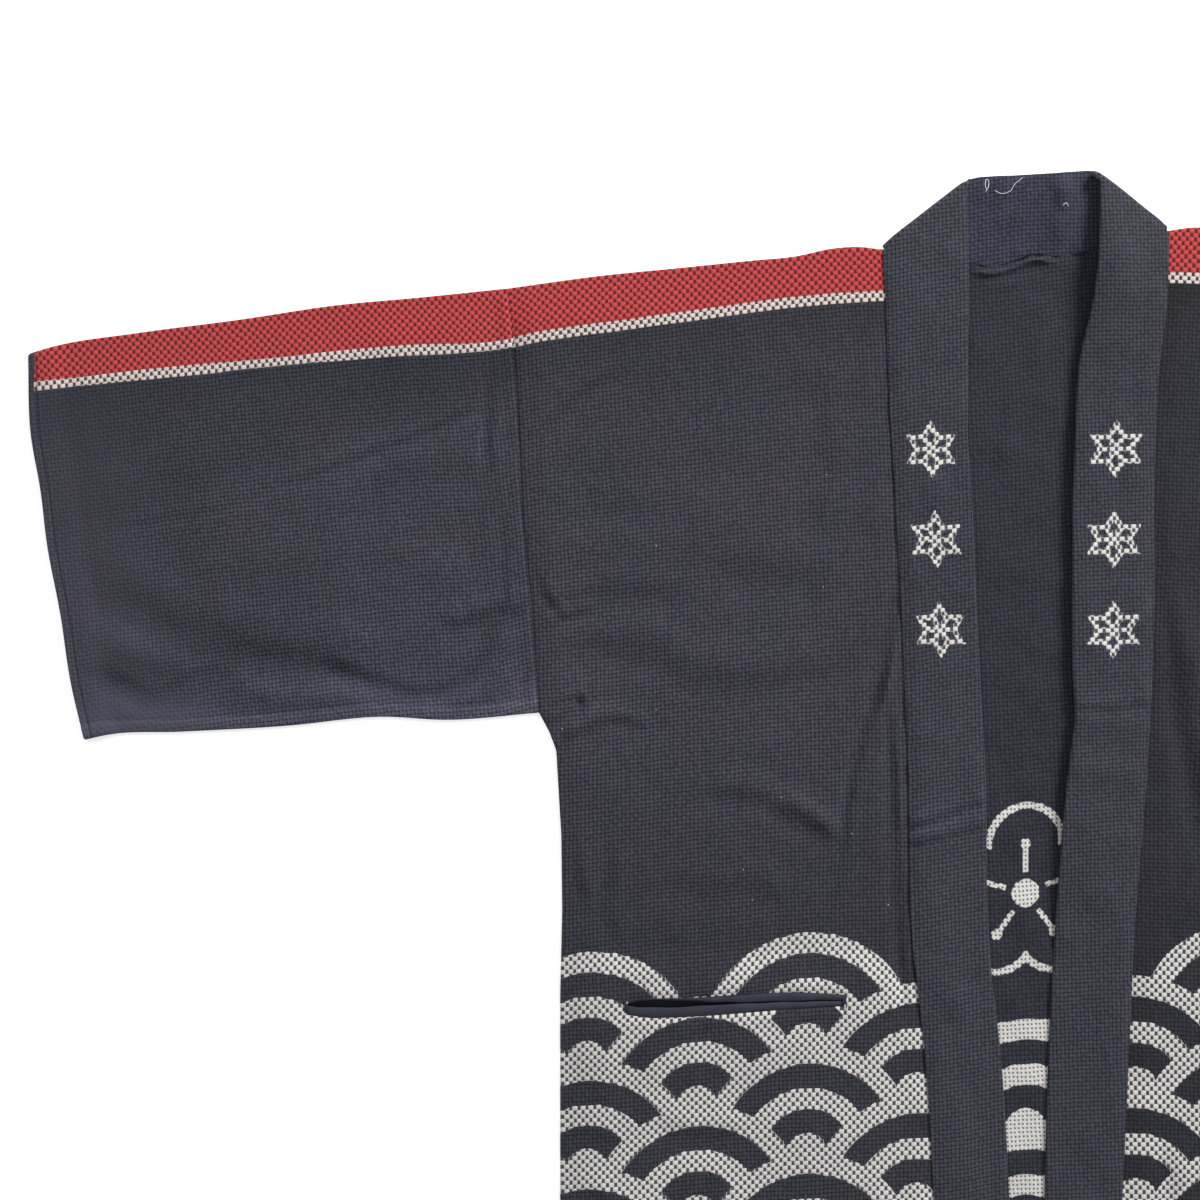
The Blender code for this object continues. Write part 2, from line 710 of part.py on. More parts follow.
def pocket_welt(name, upper, material):
    """One welt: a doubled strip between the slit's edge and its mouth."""
    slit_top, slit_bottom = slit_levels()
    level = (slit_bottom - slit_top) / SLIT_DEPTH      # one millimetre down the front
    middle = (slit_top + slit_bottom) / 2
    edge = slit_top + GAP * level if upper else slit_bottom - GAP * level
    half_mouth = SLIT_MOUTH / 2 * level
    mouth = middle - half_mouth if upper else middle + half_mouth
    grid = np.stack([slit_row(edge + (mouth - edge) * share) for share in (0.0, 0.5, 1.0)])
    return wall(name, grid, flat_normals(grid), POCKETING, material)


def pocket_bag(name, material):
    """The bag: one cloth from the lower welt down, folded, and up again behind the slit."""
    across = -np.linspace(BAG_OUT[1], BAG_OUT[0], 6)
    radius = (POCKETING + GAP) / 2
    low = STEP + POCKETING / 2
    bottom = SLIT_UP - BAG_DEPTH
    mouth = SLIT_UP - SLIT_DEPTH / 2 - BAG_MOUTH
    rows, normals = [], []
    for up in np.linspace(mouth, bottom, 6):
        rows.append([(x, up, low + 2 * radius) for x in across])
        normals.append([(0.0, 0.0, 1.0)] * len(across))
    line = np.array(rows[-1])
    down = np.tile([0.0, -1.0, 0.0], (len(across), 1))
    upward = np.tile([0.0, 0.0, 1.0], (len(across), 1))
    turned, turned_normals = turn(line, upward, down, radius, TURN_ANGLES)
    rows += [list(map(tuple, row)) for row in turned]
    normals += [list(map(tuple, row)) for row in turned_normals]
    for up in np.linspace(bottom + BAG_FOLDED, SLIT_UP + SLIT_DEPTH / 2 + BAG_BACK, 4):
        rows.append([(x, up, low) for x in across])
        normals.append([(0.0, 0.0, -1.0)] * len(across))
    middle, normal = np.array(rows), np.array(normals)
    return wall(name, middle, normal, POCKETING, material)


# ---------------------------------------------------------------- the cloths


def cloth(name, colour, roughness):
    material = bpy.data.materials.new(name)
    material.use_nodes = True
    shader = material.node_tree.nodes["Principled BSDF"]
    shader.inputs["Base Color"].default_value = (*colour, 1.0)
    shader.inputs["Roughness"].default_value = roughness
    shader.inputs["Metallic"].default_value = 0.0
    return material


for old in list(bpy.data.objects):
    bpy.data.objects.remove(old)

back("back", cloth("back cotton", (0.037, 0.038, 0.051), 0.9))
front("front_right", -1, cloth("right front cotton", (0.050, 0.047, 0.063), 0.9))
front("front_left", 1, cloth("left front cotton", (0.048, 0.046, 0.061), 0.9))
sleeve("sleeve_right", -1, cloth("right sleeve cotton", (0.045, 0.045, 0.060), 0.9))
sleeve("sleeve_left", 1, cloth("left sleeve cotton", (0.045, 0.045, 0.060), 0.9))
collar("collar", cloth("collar cotton", (0.049, 0.050, 0.064), 0.9))
pocket_welt("pocket_welt_upper", True, cloth("upper welt cotton", (0.046, 0.046, 0.066), 0.8))
pocket_welt("pocket_welt_lower", False, cloth("lower welt cotton", (0.046, 0.046, 0.066), 0.8))
pocket_bag("pocket_bag", cloth("bag cotton", (0.040, 0.041, 0.058), 0.8))
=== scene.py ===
"""A happi coat laid flat on its back, in printed cotton with a checker of raised stitches.

Lengths are in millimetres and become metres where a mesh is made. Left and right are the
wearer's: the right side of the coat has negative X.
"""

from functools import partialmethod
import math

import bpy
import numpy as np
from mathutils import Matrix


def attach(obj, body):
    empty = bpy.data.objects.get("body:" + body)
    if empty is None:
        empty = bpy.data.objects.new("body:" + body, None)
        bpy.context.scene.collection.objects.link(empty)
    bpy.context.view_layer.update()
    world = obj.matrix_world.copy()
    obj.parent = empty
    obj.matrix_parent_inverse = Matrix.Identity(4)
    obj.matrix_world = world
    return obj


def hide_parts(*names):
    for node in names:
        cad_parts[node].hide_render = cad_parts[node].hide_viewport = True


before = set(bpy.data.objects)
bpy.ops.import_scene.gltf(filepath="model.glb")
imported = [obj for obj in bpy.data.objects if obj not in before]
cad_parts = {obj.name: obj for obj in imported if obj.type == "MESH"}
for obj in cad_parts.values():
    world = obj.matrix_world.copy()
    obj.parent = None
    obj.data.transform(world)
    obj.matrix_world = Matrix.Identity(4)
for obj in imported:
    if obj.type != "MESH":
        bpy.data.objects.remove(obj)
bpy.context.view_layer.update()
bpy.ops.object.select_all(action="DESELECT")

# ------------------------------------------------------------------ the back
# One width of a double cotton with a checker of raised stitches, dyed charcoal, with only its
# raised stitches printed. It lies on its outer face, and its wrong side shows between the
# collar's two sides. The hem is turned up and stitched, and the neck gathered into the collar.

MM = 0.001
CLOTH = 1.2
GAP = 0.3
SEWN_GAP = 0.03        # between two edges sewn together
STEP = CLOTH + GAP     # from one layer of cloth to the next
HEM = -424.6
HEM_RISE = 12.0
HEM_TURNING = 20.0
SIDE_OUT = 304.6
LEFT_LIFT = 12.4       # the left shoulder lies this much higher than the right
LEFT_LIFT_SLOPE = 0.02
NECK_OUT = 93.0
NECK_UP = 375.0
NECK_CORNER = 92.1
SHOULDER = [  # neck to armhole
    # out, up
    (92.5, 373), (109.4, 375), (126, 374), (151, 368.8), (180, 366), (222.7, 361.6),
    (276.4, 356.3), (339, 347.8),
]
SIDE = [  # armhole, underarm and side seam, shoulder to hem
    # out, up
    (339, 347.8), (333.4, 284.9), (329.5, 195.8), (324.2, 143.4), (321.2, 104.8), (319, 69.5),
    (311.8, 57), (307.2, 45), (303.9, -10.5), (303.3, -60), (304.6, -116), (304.6, -250),
    (302, -425),
]
NECK_SEAM = [  # right shoulder to left shoulder
    # across, up
    (-94, 374.6), (-60, 368.6), (-36, 364), (-23.6, 361.4), (-9.2, 365), (4.6, 370.6),
    (19, 368.4), (32, 369.6), (60, 377.4), (93.2, 387.6),
]
BAND_LINE = [  # where the red band ends and the white line starts, cuff to neck
    # out, up
    (655, 286), (541, 297.6), (410, 309.6), (341.3, 314.2), (324.9, 317.7), (265.9, 326.2),
    (213.5, 333.4), (161.1, 340.6), (108.7, 345.2), (93, 346), (0, 346.4),
]
WHITE_LINE = 6.4
PRINT_LENGTH = 760.0   # on the cloth, from the white line to the hem
BACK_LEAN = 0.038      # how far off straight the back's weave runs


def along(table, key, value=1):
    """A smooth curve through two columns of a table: gives the value for a key."""
    rows = sorted(table, key=lambda row: row[0])
    x = np.array([row[0] for row in rows])
    y = np.array([row[value] for row in rows])
    slope = np.gradient(y, x)
    k = np.clip(np.searchsorted(x, key) - 1, 0, len(x) - 2)
    h = x[k + 1] - x[k]
    t = np.clip((key - x[k]) / h, 0.0, 1.0)
    return (
        (2 * t**3 - 3 * t**2 + 1) * y[k]
        + (t**3 - 2 * t**2 + t) * h * slope[k]
        + (3 * t**2 - 2 * t**3) * y[k + 1]
        + (t**3 - t**2) * h * slope[k + 1]
    )


def straight_along(table, key, value=1):
    """The same with straight stretches between the rows."""
    rows = sorted(table, key=lambda row: row[0])
    return np.interp(key, [row[0] for row in rows], [row[value] for row in rows])


def swapped(table):
    """A table of out and up, turned into one of up and out."""
    return [(row[1], row[0]) for row in table]


def smooth(x):
    """0 below 0, 1 above 1 and a soft rise between."""
    x = np.clip(x, 0.0, 1.0)
    return x * x * (3 - 2 * x)


def hump(place, middle, half):
    """1 at the middle, fading out on both sides of it."""
    return np.exp(-(((place - middle) / half) ** 2))


def together(*measures):
    """Points or places from one array for each of their measures."""
    return np.stack(np.broadcast_arrays(*measures), axis=-1)


def left_lift(out, up):
    """How much higher a place on the left side lies than its mirror image."""
    grown = LEFT_LIFT + LEFT_LIFT_SLOPE * (out - NECK_OUT)
    return grown * (up - HEM) / (NECK_UP - HEM)


def lift(x, up):
    """The same for the whole coat: nothing on the right side, growing across the middle."""
    return left_lift(np.abs(x), up) * smooth((x + 50.0) / 100.0)


def unlifted(out, up, side):
    """The height of a place's mirror image on the right side, where all is measured."""
    return up - (left_lift(out, up) if side > 0 else 0.0)


def hem_height(out):
    return HEM + HEM_RISE * (1 - (out / SIDE_OUT) ** 2)


def shoulder_height(out, side):
    up = along(SHOULDER, np.clip(out, SHOULDER[0][0], SHOULDER[-1][0]))
    return up + (left_lift(out, up) if side > 0 else 0.0)


def side_out(up):
    return straight_along(swapped(SIDE), up)


def below_band(x, y):
    """How far below the red band a place lies."""
    line = along(BAND_LINE, np.abs(x))
    return line + lift(x, line) - y


def printed_down(x, y):
    """The same on the body, as the printer measured it on the flat cloth."""
    below = below_band(x, y)
    return below * PRINT_LENGTH / (below + y - hem_height(np.minimum(np.abs(x), SIDE_OUT)))


def round_path(path, steps=5):
    """A soft curve through the points of a path."""
    p = np.array(path, dtype=float)
    p = np.concatenate([[2 * p[0] - p[1]], p, [2 * p[-1] - p[-2]]])
    out = []
    for a, b, c, d in zip(p[:-3], p[1:-2], p[2:-1], p[3:]):
        for t in np.arange(steps) / steps:
            out.append(
                0.5 * (2 * b + (c - a) * t + (2 * a - 5 * b + 4 * c - d) * t**2)
                + 0.5 * (3 * b - 3 * c + d - a) * t**3
            )
    return np.array(out + [p[-2]])


def folds(table, out, up):
    """Heights of a table of soft folds, each a ridge (above 0) or a trough along a path.

    A fold's step makes the cloth on the left of its path higher and on its right lower.
    """
    total = np.zeros(np.shape(out))
    for height, step, half, path in table:
        line = round_path(path)
        run = np.concatenate([[0.0], np.cumsum(np.hypot(*np.diff(line, axis=0).T))])
        nearest = np.full(np.shape(out), 1e9)
        left, place = np.zeros(np.shape(out)), np.zeros(np.shape(out))
        for (x_0, y_0), (x_1, y_1), start in zip(line[:-1], line[1:], run):
            dx, dy = x_1 - x_0, y_1 - y_0
            length = math.hypot(dx, dy)
            t = np.clip(((out - x_0) * dx + (up - y_0) * dy) / length**2, 0.0, 1.0)
            away = np.hypot(out - x_0 - t * dx, up - y_0 - t * dy)
            closer = away < nearest
            nearest = np.where(closer, away, nearest)
            left = np.where(closer, ((up - y_0) * dx - (out - x_0) * dy) / length, left)
            place = np.where(closer, (start + t * length) / run[-1], place)
        ends = smooth(place / 0.25) * smooth((1 - place) / 0.25)
        tilt = step * np.clip(left / half, -1.2, 1.2)
        total += (height + tilt) * np.exp(-((nearest / half) ** 2)) * ends
    return total


def lumps(x, y, seed, size, amount):
    """The cloth's own unevenness: soft lumps of about the given size."""
    dice = np.random.default_rng(seed)
    total = np.zeros(np.shape(x))
    for _ in range(16):
        length = size * dice.uniform(0.55, 2.0)
        angle, turned, phase = dice.uniform(0, 2 * math.pi, 3)
        bend = np.sin((x * math.cos(turned) + y * math.sin(turned)) / length * 2.3)
        wave = (x * math.cos(angle) + y * math.sin(angle)) / length * 2 * math.pi
        total += np.sin(wave + phase + 1.3 * bend) * (length / size) ** 0.8
    return total * amount / 3.0


def settled(height):
    """A height that lands softly on 0 and never goes below it."""
    soft = 0.3
    return np.where(height > 2.4, height, soft * np.log1p(np.exp(np.minimum(height / soft, 8.0))))


def edge_outward(line, towards):
    """Level unit vectors square to a line of points, on the side of the given vector."""
    tangent = np.gradient(line[:, :2], axis=0)
    out = np.stack([-tangent[:, 1], tangent[:, 0]], axis=1)
    out /= np.linalg.norm(out, axis=1)[:, None]
    out *= np.sign(out @ np.array(towards))[:, None]
    return np.column_stack([out, np.zeros(len(line))])


def turn(line, normal, outward, radius, angles):
    """Rows of cloth that turn round an edge, from a line on the layer's middle."""
    rows, normals = [], []
    for angle in angles:
        c, s = math.cos(math.radians(angle)), math.sin(math.radians(angle))
        rows.append(line + radius * (c * outward + (s - 1) * normal))
        normals.append(c * outward + s * normal)
    return rows, normals


TURN_ANGLES = (65.0, 40.0, 15.0, -10.0, -35.0, -60.0, -90.0)
TURN_REACH = STEP / 2 + CLOTH / 2


def level(middle, up=1.0):
    normal = np.zeros_like(middle)
    normal[..., 2] = up
    return normal


def put_in(name, data):
    """A new object in the scene."""
    thing = bpy.data.objects.new(name, data)
    bpy.context.scene.collection.objects.link(thing)
    return thing


def cloth_wall(
    name, middle, normal, thickness, maps, tone_and_painted_shade=0.0, matted=0.0, ring=False, window=None
):
    """A closed wall of cloth about a grid of middle points, its right side along the normals.

    maps are the UV maps: for each point its place on the cloth, in millimetres.
    tone_and_painted_shade is how much paler or darker the cloth is drawn, with painted shade in
    seams and creases, and matted how far wear and washing have blurred its stitches.
    ring joins the last column to the first, and window leaves out the cells between two rows
    and two columns.
    """
    thickness, tone_and_painted_shade, matted = (
        np.broadcast_to(amount, middle.shape[:2]) for amount in (thickness, tone_and_painted_shade, matted)
    )
    down, across = np.diff(middle, axis=0)[:, :-1], np.diff(middle, axis=1)[:-1]
    if np.sum(np.cross(across, down) * normal[:-1, :-1]) < 0:
        middle, normal, thickness = middle[::-1], normal[::-1], thickness[::-1]
        tone_and_painted_shade, matted = tone_and_painted_shade[::-1], matted[::-1]
        maps = {uv_map: place[::-1] for uv_map, place in maps.items()}
        if window:
            last_row = len(middle) - 1
            window = (last_row - window[1], last_row - window[0], window[2], window[3])
    rows, columns = middle.shape[:2]
    half = normal * (thickness / 2)[..., None]
    points = np.concatenate([(middle + half).reshape(-1, 3), (middle - half).reshape(-1, 3)])
    i, j = np.mgrid[0 : rows - 1, 0 : columns if ring else columns - 1]
    keep = np.ones(i.shape, bool)
    if window:
        keep[window[0] : window[1], window[2] : window[3]] = False
    i, j = i[keep], j[keep]
    beside = (j + 1) % columns
    here, next_row = i * columns, (i + 1) * columns
    near = together(here + j, here + beside, next_row + beside, next_row + j)
    sides = np.concatenate([near[:, [k, (k + 1) % 4]] for k in range(4)])
    size = rows * columns
    forward, backward = sides[:, 0] * size + sides[:, 1], sides[:, 1] * size + sides[:, 0]
    rim = sides[~np.isin(forward, backward)]
    edge = together(rim[:, 1], rim[:, 0], rim[:, 0] + size, rim[:, 1] + size)
    faces = np.concatenate([near, near[:, ::-1] + size, edge])
    used = np.unique(faces)
    renumbered = np.full(2 * size, -1)
    renumbered[used] = np.arange(len(used))

    mesh = bpy.data.meshes.new(name)
    mesh.from_pydata((points[used] * MM).tolist(), [], renumbered[faces].tolist())
    corners = np.empty(len(mesh.loops), dtype=np.int32)
    mesh.loops.foreach_get("vertex_index", corners)
    for uv_map, place in maps.items():
        flat = np.concatenate([place.reshape(-1, 2)] * 2)[used] * MM
        mesh.uv_layers.new(name=uv_map).data.foreach_set("uv", flat[corners].ravel())
    tone_and_painted_shade, matted = (np.concatenate([amount.ravel()] * 2)[used] for amount in (tone_and_painted_shade, matted))
    for attribute, amount in (("right_side", used < size), ("tone_and_painted_shade", tone_and_painted_shade), ("matted", matted)):
        layer = mesh.attributes.new(attribute, "FLOAT", "POINT")
        layer.data.foreach_set("value", amount.astype(np.float32))
    mesh.shade_smooth()
    mesh.set_sharp_from_angle(angle=math.radians(50))
    return put_in(name, mesh)


class Amount:
    """A number worked out at each place on the cloth, by a chain of Math nodes."""

    def __init__(self, tree, socket):
        self.tree, self.socket = tree, socket

    def math(self, operation, *others):
        node = self.tree.nodes.new("ShaderNodeMath")
        node.operation = operation
        for slot, value in zip(node.inputs, (self, *others)):
            if isinstance(value, Amount):
                self.tree.links.new(value.socket, slot)
            else:
                slot.default_value = value
        return Amount(self.tree, node.outputs[0])

    __add__ = partialmethod(math, "ADD")
    __sub__ = partialmethod(math, "SUBTRACT")
    __mul__ = partialmethod(math, "MULTIPLY")
    __truediv__ = partialmethod(math, "DIVIDE")
    or_ = partialmethod(math, "MAXIMUM")
    size = partialmethod(math, "ABSOLUTE")
    whole = partialmethod(math, "FLOOR")
    part = partialmethod(math, "FRACT")    # what is over the last whole number

    def off(self, all_of_it=1.0):
        """What is left when this is taken off the whole."""
        return self.math("MULTIPLY_ADD", -1.0, all_of_it)

    def with_(self, other):
        """The length of a line that goes this far one way and the other amount square to it."""
        return (self * self + other * other).math("SQRT")

    def rise(self, low, high):
        """0 up to low, 1 from high and a soft rise between; or the other way round."""
        node = self.tree.nodes.new("ShaderNodeMapRange")
        node.interpolation_type = "SMOOTHSTEP"
        self.tree.links.new(self.socket, node.inputs["Value"])
        node.inputs["From Min"].default_value = min(low, high)
        node.inputs["From Max"].default_value = max(low, high)
        node.inputs["To Min"].default_value = 0.0 if low < high else 1.0
        node.inputs["To Max"].default_value = 1.0 if low < high else 0.0
        return Amount(self.tree, node.outputs["Result"])


def mixed(tree, share, colour_a, colour_b):
    """Colour a where the share is 0 and colour b where it is 1."""
    node = tree.nodes.new("ShaderNodeMix")
    node.data_type = "RGBA"
    tree.links.new(share.socket, node.inputs["Factor"])
    # Its other sockets share their names, so its colours go by number.
    for slot, colour in ((node.inputs[6], colour_a), (node.inputs[7], colour_b)):
        if isinstance(colour, tuple):
            slot.default_value = (*colour, 1.0)
        else:
            tree.links.new(colour, slot)
    return node.outputs[2]


def scaled(tree, colour, amount):
    """A colour made lighter or darker by an amount."""
    node = tree.nodes.new("ShaderNodeVectorMath")
    node.operation = "SCALE"
    tree.links.new(colour, node.inputs[0])
    tree.links.new(amount.socket, node.inputs["Scale"])
    return node.outputs[0]


def place_on(tree, layer):
    """The two measures of a UV map in millimetres, and its socket."""
    uv = tree.nodes.new("ShaderNodeUVMap")
    uv.uv_map = layer
    split = tree.nodes.new("ShaderNodeSeparateXYZ")
    tree.links.new(uv.outputs["UV"], split.inputs["Vector"])
    across, down = (Amount(tree, split.outputs[axis]) * (1 / MM) for axis in "XY")
    return across, down, uv.outputs["UV"]


def attribute_on(tree, name):
    node = tree.nodes.new("ShaderNodeAttribute")
    node.attribute_name = name
    return Amount(tree, node.outputs["Fac"])


def unevenness(tree, vector, scale, detail=2.0):
    """Noise on the cloth, as an amount and as its colour's socket."""
    node = tree.nodes.new("ShaderNodeTexNoise")
    node.inputs["Scale"].default_value = scale
    node.inputs["Detail"].default_value = detail
    tree.links.new(vector, node.inputs["Vector"])
    return Amount(tree, node.outputs["Fac"]), node.outputs["Color"]


def new_material(name):
    """A material, its tree of nodes and its shader."""
    material = bpy.data.materials.new(name)
    material.use_nodes = True
    return material, material.node_tree, material.node_tree.nodes["Principled BSDF"]


def settings(node, **values):
    """Set a node's own sockets; a name has _ for each space."""
    for socket, value in values.items():
        node.inputs[socket.replace("_", " ")].default_value = value


def relief(tree, shader, height, **values):
    """Let the shader see a height as relief, with the bump's own settings."""
    bump = tree.nodes.new("ShaderNodeBump")
    settings(bump, **values)
    tree.links.new(height.socket, bump.inputs["Height"])
    tree.links.new(bump.outputs["Normal"], shader.inputs["Normal"])


# The ground between the stitches, drawn darker than its dye as painted shade in the pits.
DARK = (0.004, 0.004, 0.007)   # between the stitches
# Each ink's colour and the share of it that has soaked into the sunken stitches.
RED = ((0.45, 0.056, 0.056), 0.8)
WHITE = ((0.595, 0.583, 0.562), 0.1)
PINKED_WHITE = ((0.58, 0.498, 0.468), 0.1)     # beside the red
FRAYED = 0.3           # half of the soft edge of a printed shape
SNAPPED = 0.35         # how far that edge follows the stitches
WARMER = (1.13, 1.0, 0.97)     # patches where the dye has browned
BLUER = (0.96, 1.03, 1.09)     # the wrong side, where the dye has had no sun
MATTED_TONE_OFF = 0.36         # what the even tone of matted cloth lacks of its full light
WANDER = 0.8           # how far the checker strays from straight, in its cells
STITCH_LENGTH = 3.4            # of a row of sewing, with the space to the next stitch
HEM_STITCHES = 18.0            # from the turned edge to the row of sewing


def stitched_cotton(name, light, dark, cell, prints, stitches=()):
    """The coat's cotton: the light of its dye and the dark of its pits, which is painted shade,
    its cell of the checker, its prints.

    prints are an ink each and a function that gives 1 where it is printed. stitches are the
    distances of its rows of sewing from the turned edge.
    """
    material, tree, shader = new_material(name)
    across, down, vector = place_on(tree, "weave")
    right_side = attribute_on(tree, "right_side").math("ROUND")

    _, wander = unevenness(tree, vector, 45.0)
    split = tree.nodes.new("ShaderNodeSeparateXYZ")
    tree.links.new(wander, split.inputs["Vector"])
    a, b = (
        measure / size + Amount(tree, split.outputs[axis]) * WANDER
        for measure, size, axis in zip((across, down), cell, "XY")
    )
    yarn, _ = unevenness(tree, vector, 1500.0, detail=4.0)
    tuft, _ = unevenness(tree, vector, 380.0, detail=1.0)
    cloud, _ = unevenness(tree, vector, 14.0, detail=4.0)

    sunk = ((a.whole() + b.whole()) * 0.5).part() * 2.0
    off_a, off_b = (a.part() - 0.5).size(), (b.part() - 0.5).size()
    hole = sunk * off_a.rise(0.45, 0.30) * off_b.rise(0.55, 0.40)
    corner = off_a.rise(0.20, 0.44) * off_b.rise(0.20, 0.44)
    between = off_a.rise(0.26, 0.5).or_(off_b.rise(0.26, 0.5))
    pillow = sunk.off() * off_a.rise(0.52, 0.12) * off_b.rise(0.52, 0.12)

    dice = tree.nodes.new("ShaderNodeTexWhiteNoise")
    dice.noise_dimensions = "2D"
    stitch = tree.nodes.new("ShaderNodeCombineXYZ")
    tree.links.new(a.whole().socket, stitch.inputs["X"])
    tree.links.new(b.whole().socket, stitch.inputs["Y"])
    tree.links.new(stitch.outputs["Vector"], dice.inputs["Vector"])
    chance = Amount(tree, dice.outputs["Value"])
    tone = (yarn - 0.5) * 2.8 + (tuft - 0.5) * 0.5 + (cloud - 0.5) * 0.1 + (chance - 0.5) * 0.3
    # Lighter on the raised pillows, darker at the stitches' corners and between them: partly the
    # charcoal ground showing between the stitches, partly painted light on the pillows and painted
    # shade in the pits.
    tone = tone + pillow * 0.16 - corner * (chance * 0.6 + 0.55) - between * 0.40 + 0.78
    tone = tone + (tone.off() - MATTED_TONE_OFF) * attribute_on(tree, "matted")
    warm = mixed(tree, (tuft * 0.5 + cloud * 0.5).rise(0.40, 0.62), light,
                 tuple(c * w for c, w in zip(light, WARMER)))
    ground = mixed(tree, right_side, tuple(c * b for c, b in zip(light, BLUER)), warm)
    colour = mixed(tree, tone.rise(-0.1, 1.1), dark, ground)
    # Paler or darker as the mesh's tone map gives, with its painted shade in seams and creases.
    colour = scaled(tree, colour, attribute_on(tree, "tone_and_painted_shade") + 1.0)
    gap = hole * right_side + corner * right_side.off()
    print_across, print_down, _ = place_on(tree, "printed")
    fray = yarn - 0.5
    thin = yarn.rise(0.30, 0.44) * 0.22 + 0.78
    # The ink's darker copies are painted shade: at the stitches' corners and down in the sunken
    # stitches.
    shaded = corner * 0.42 + tuft.rise(0.62, 0.35) * 0.14
    for (ink, soaked), where in prints:
        # The ink takes on whole stitches, so a shape's edge follows them.
        inked = where(
            print_across + fray - (a.part() - 0.5) * (SNAPPED * cell[0]),
            print_down + fray - (b.part() - 0.5) * (SNAPPED * cell[1]),
        )
        shade = mixed(tree, shaded, ink, tuple(0.9 * c * c for c in ink))
        shade = mixed(tree, gap, shade, tuple(0.6 * c * c for c in ink))
        colour = mixed(tree, inked * (gap * (0.96 * (1 - soaked))).off() * thin, colour, shade)

    height = pillow * 0.5 + yarn * 0.3 - corner * 0.6 - hole * 0.3
    if stitches:
        edge, run, _ = place_on(tree, "sewn")
        for at in stitches:
            near = (edge - at).size()
            dash = ((run / STITCH_LENGTH).part() - 0.5).size().rise(0.42, 0.34)
            height = height - near.rise(1.6, 0.3) * 0.9 + near.rise(0.45, 0.2) * dash * 0.6
            # The row of sewing lies in a groove, drawn darker along it as painted shade.
            colour = mixed(tree, near.rise(0.9, 0.2) * 0.55, colour, tuple(0.7 * c for c in dark))
    tree.links.new(colour, shader.inputs["Base Color"])
    relief(tree, shader, height, Strength=0.5, Distance=0.0005)
    settings(shader, Roughness=0.93, Specular_IOR_Level=0.2)
    settings(shader, Sheen_Weight=0.08, Sheen_Roughness=0.6)
    return material


def red_band(across, down):
    return down.rise(FRAYED, -FRAYED)


def white_line(across, down):
    return down.rise(-FRAYED, FRAYED) * down.rise(WHITE_LINE + FRAYED, WHITE_LINE - FRAYED)


BAND_STARTS = (84.0, 86.0)     # the back's band begins under the collar, this far out


def red_on_back(across, down):
    return red_band(across, down) * across.size().rise(*BAND_STARTS)


def white_on_back(across, down):
    return white_line(across, down) * across.size().rise(*BAND_STARTS)


CREST_DOWN = 398.0     # the crest's middle, below the band
CREST_PETAL = 24.0     # a petal's radius, and how far out its middle lies
CREST_REACH = 33.0
CREST_LINE = 4.6


def petals(count, across, up):
    """For a flower: how far a place is from its middle, and out along and aside of a petal."""
    away = across.with_(up)
    petal = 2 * math.pi / count
    angle = ((across.math("ARCTAN2", up) / petal + 0.5).part() - 0.5).size() * petal
    return away, away * angle.math("COSINE"), away * angle.math("SINE")


def plum_crest(across, down):
    """Five round petals in outline, each with a stamen, about a small disc."""
    away, out, aside = petals(5, across, down.off(CREST_DOWN))
    petal = ((out - CREST_REACH).with_(aside) - CREST_PETAL).size()
    line = petal.rise(CREST_LINE / 2 + FRAYED, CREST_LINE / 2 - FRAYED) * away.rise(19.0, 20.0)
    stamen = aside.rise(1.9, 1.3) * out.rise(13.5, 14.1) * out.rise(29.0, 28.4)
    dot = (out - 32.0).with_(aside).rise(3.8, 3.2)
    return line.or_(stamen).or_(dot).or_(away.rise(9.3, 8.7))


WAVE = 72.0            # radius of a wave scale; its rows lie half of that apart
WAVE_LINE = 13.5
WAVE_SPACE = 15.75
BACK_WAVES = 480.0     # below the band, to the first row


def waves_from(start):
    """Rows of overlapping wave scales of two rings and a disc, from a level down."""

    def waves(across, down):
        row = (down - (start + WAVE)) / (WAVE / 2)
        lowest = (row + 2.0).whole()
        below = (lowest - row) * (WAVE / 2)
        odd = (lowest * 0.5).part() * 2.0
        beside = ((across / (2 * WAVE) + odd * 0.5 + 0.5).part() - 0.5).size() * (2 * WAVE)
        chosen = inside = None
        # The lowest row that covers a place lies over the rows above it.
        for number, sideways in ((2, beside), (1, beside.off(WAVE)), (0, beside)):
            away = sideways.with_(below - number * WAVE / 2)
            covers = away.math("LESS_THAN", WAVE) * lowest.math("GREATER_THAN", number - 0.5)
            chosen = away if chosen is None else chosen + covers * (away - chosen)
            inside = covers if inside is None else inside.or_(covers)
        beat = WAVE_LINE + WAVE_SPACE
        ring = (chosen.off(WAVE) / beat).part() * beat
        return inside * ring.rise(WAVE_LINE + FRAYED, WAVE_LINE - FRAYED)

    return waves


BACK_FOLDS = [
    # height, step, half width, path of across and up
    (2.6, 0, 1.9, [(-40, 358.6), (-31, 357.6), (-21, 357.4), (-9, 360.4), (4, 365.8),
                   (14, 365.4), (24, 364)]),
    (1, 0.4, 6, [(-34, 346), (-22, 347.5), (-8, 351), (6, 358)]),
    (1, 0, 9, [(14, 340), (10, 300), (16, 262)]),
    (0.8, 0.3, 8, [(-16, 320), (-10, 270), (-14, 210)]),
    (0.9, 0, 10, [(6, 180), (2, 110), (8, 40)]),
    (0.7, 0, 8, [(-8, 20), (0, -60), (-4, -150)]),
]
BACK_OUT = 337.9       # half of its width at the shoulders
NECK_INNER = 91.0      # the neck's columns end there, just inside its corners
columns = np.concatenate([
    np.linspace(-BACK_OUT, -NECK_CORNER, 42), np.linspace(-NECK_INNER, NECK_INNER, 84),
    np.linspace(NECK_CORNER, BACK_OUT, 42),
])
under_turning = TURN_REACH * 2 + 6.0 + GAP
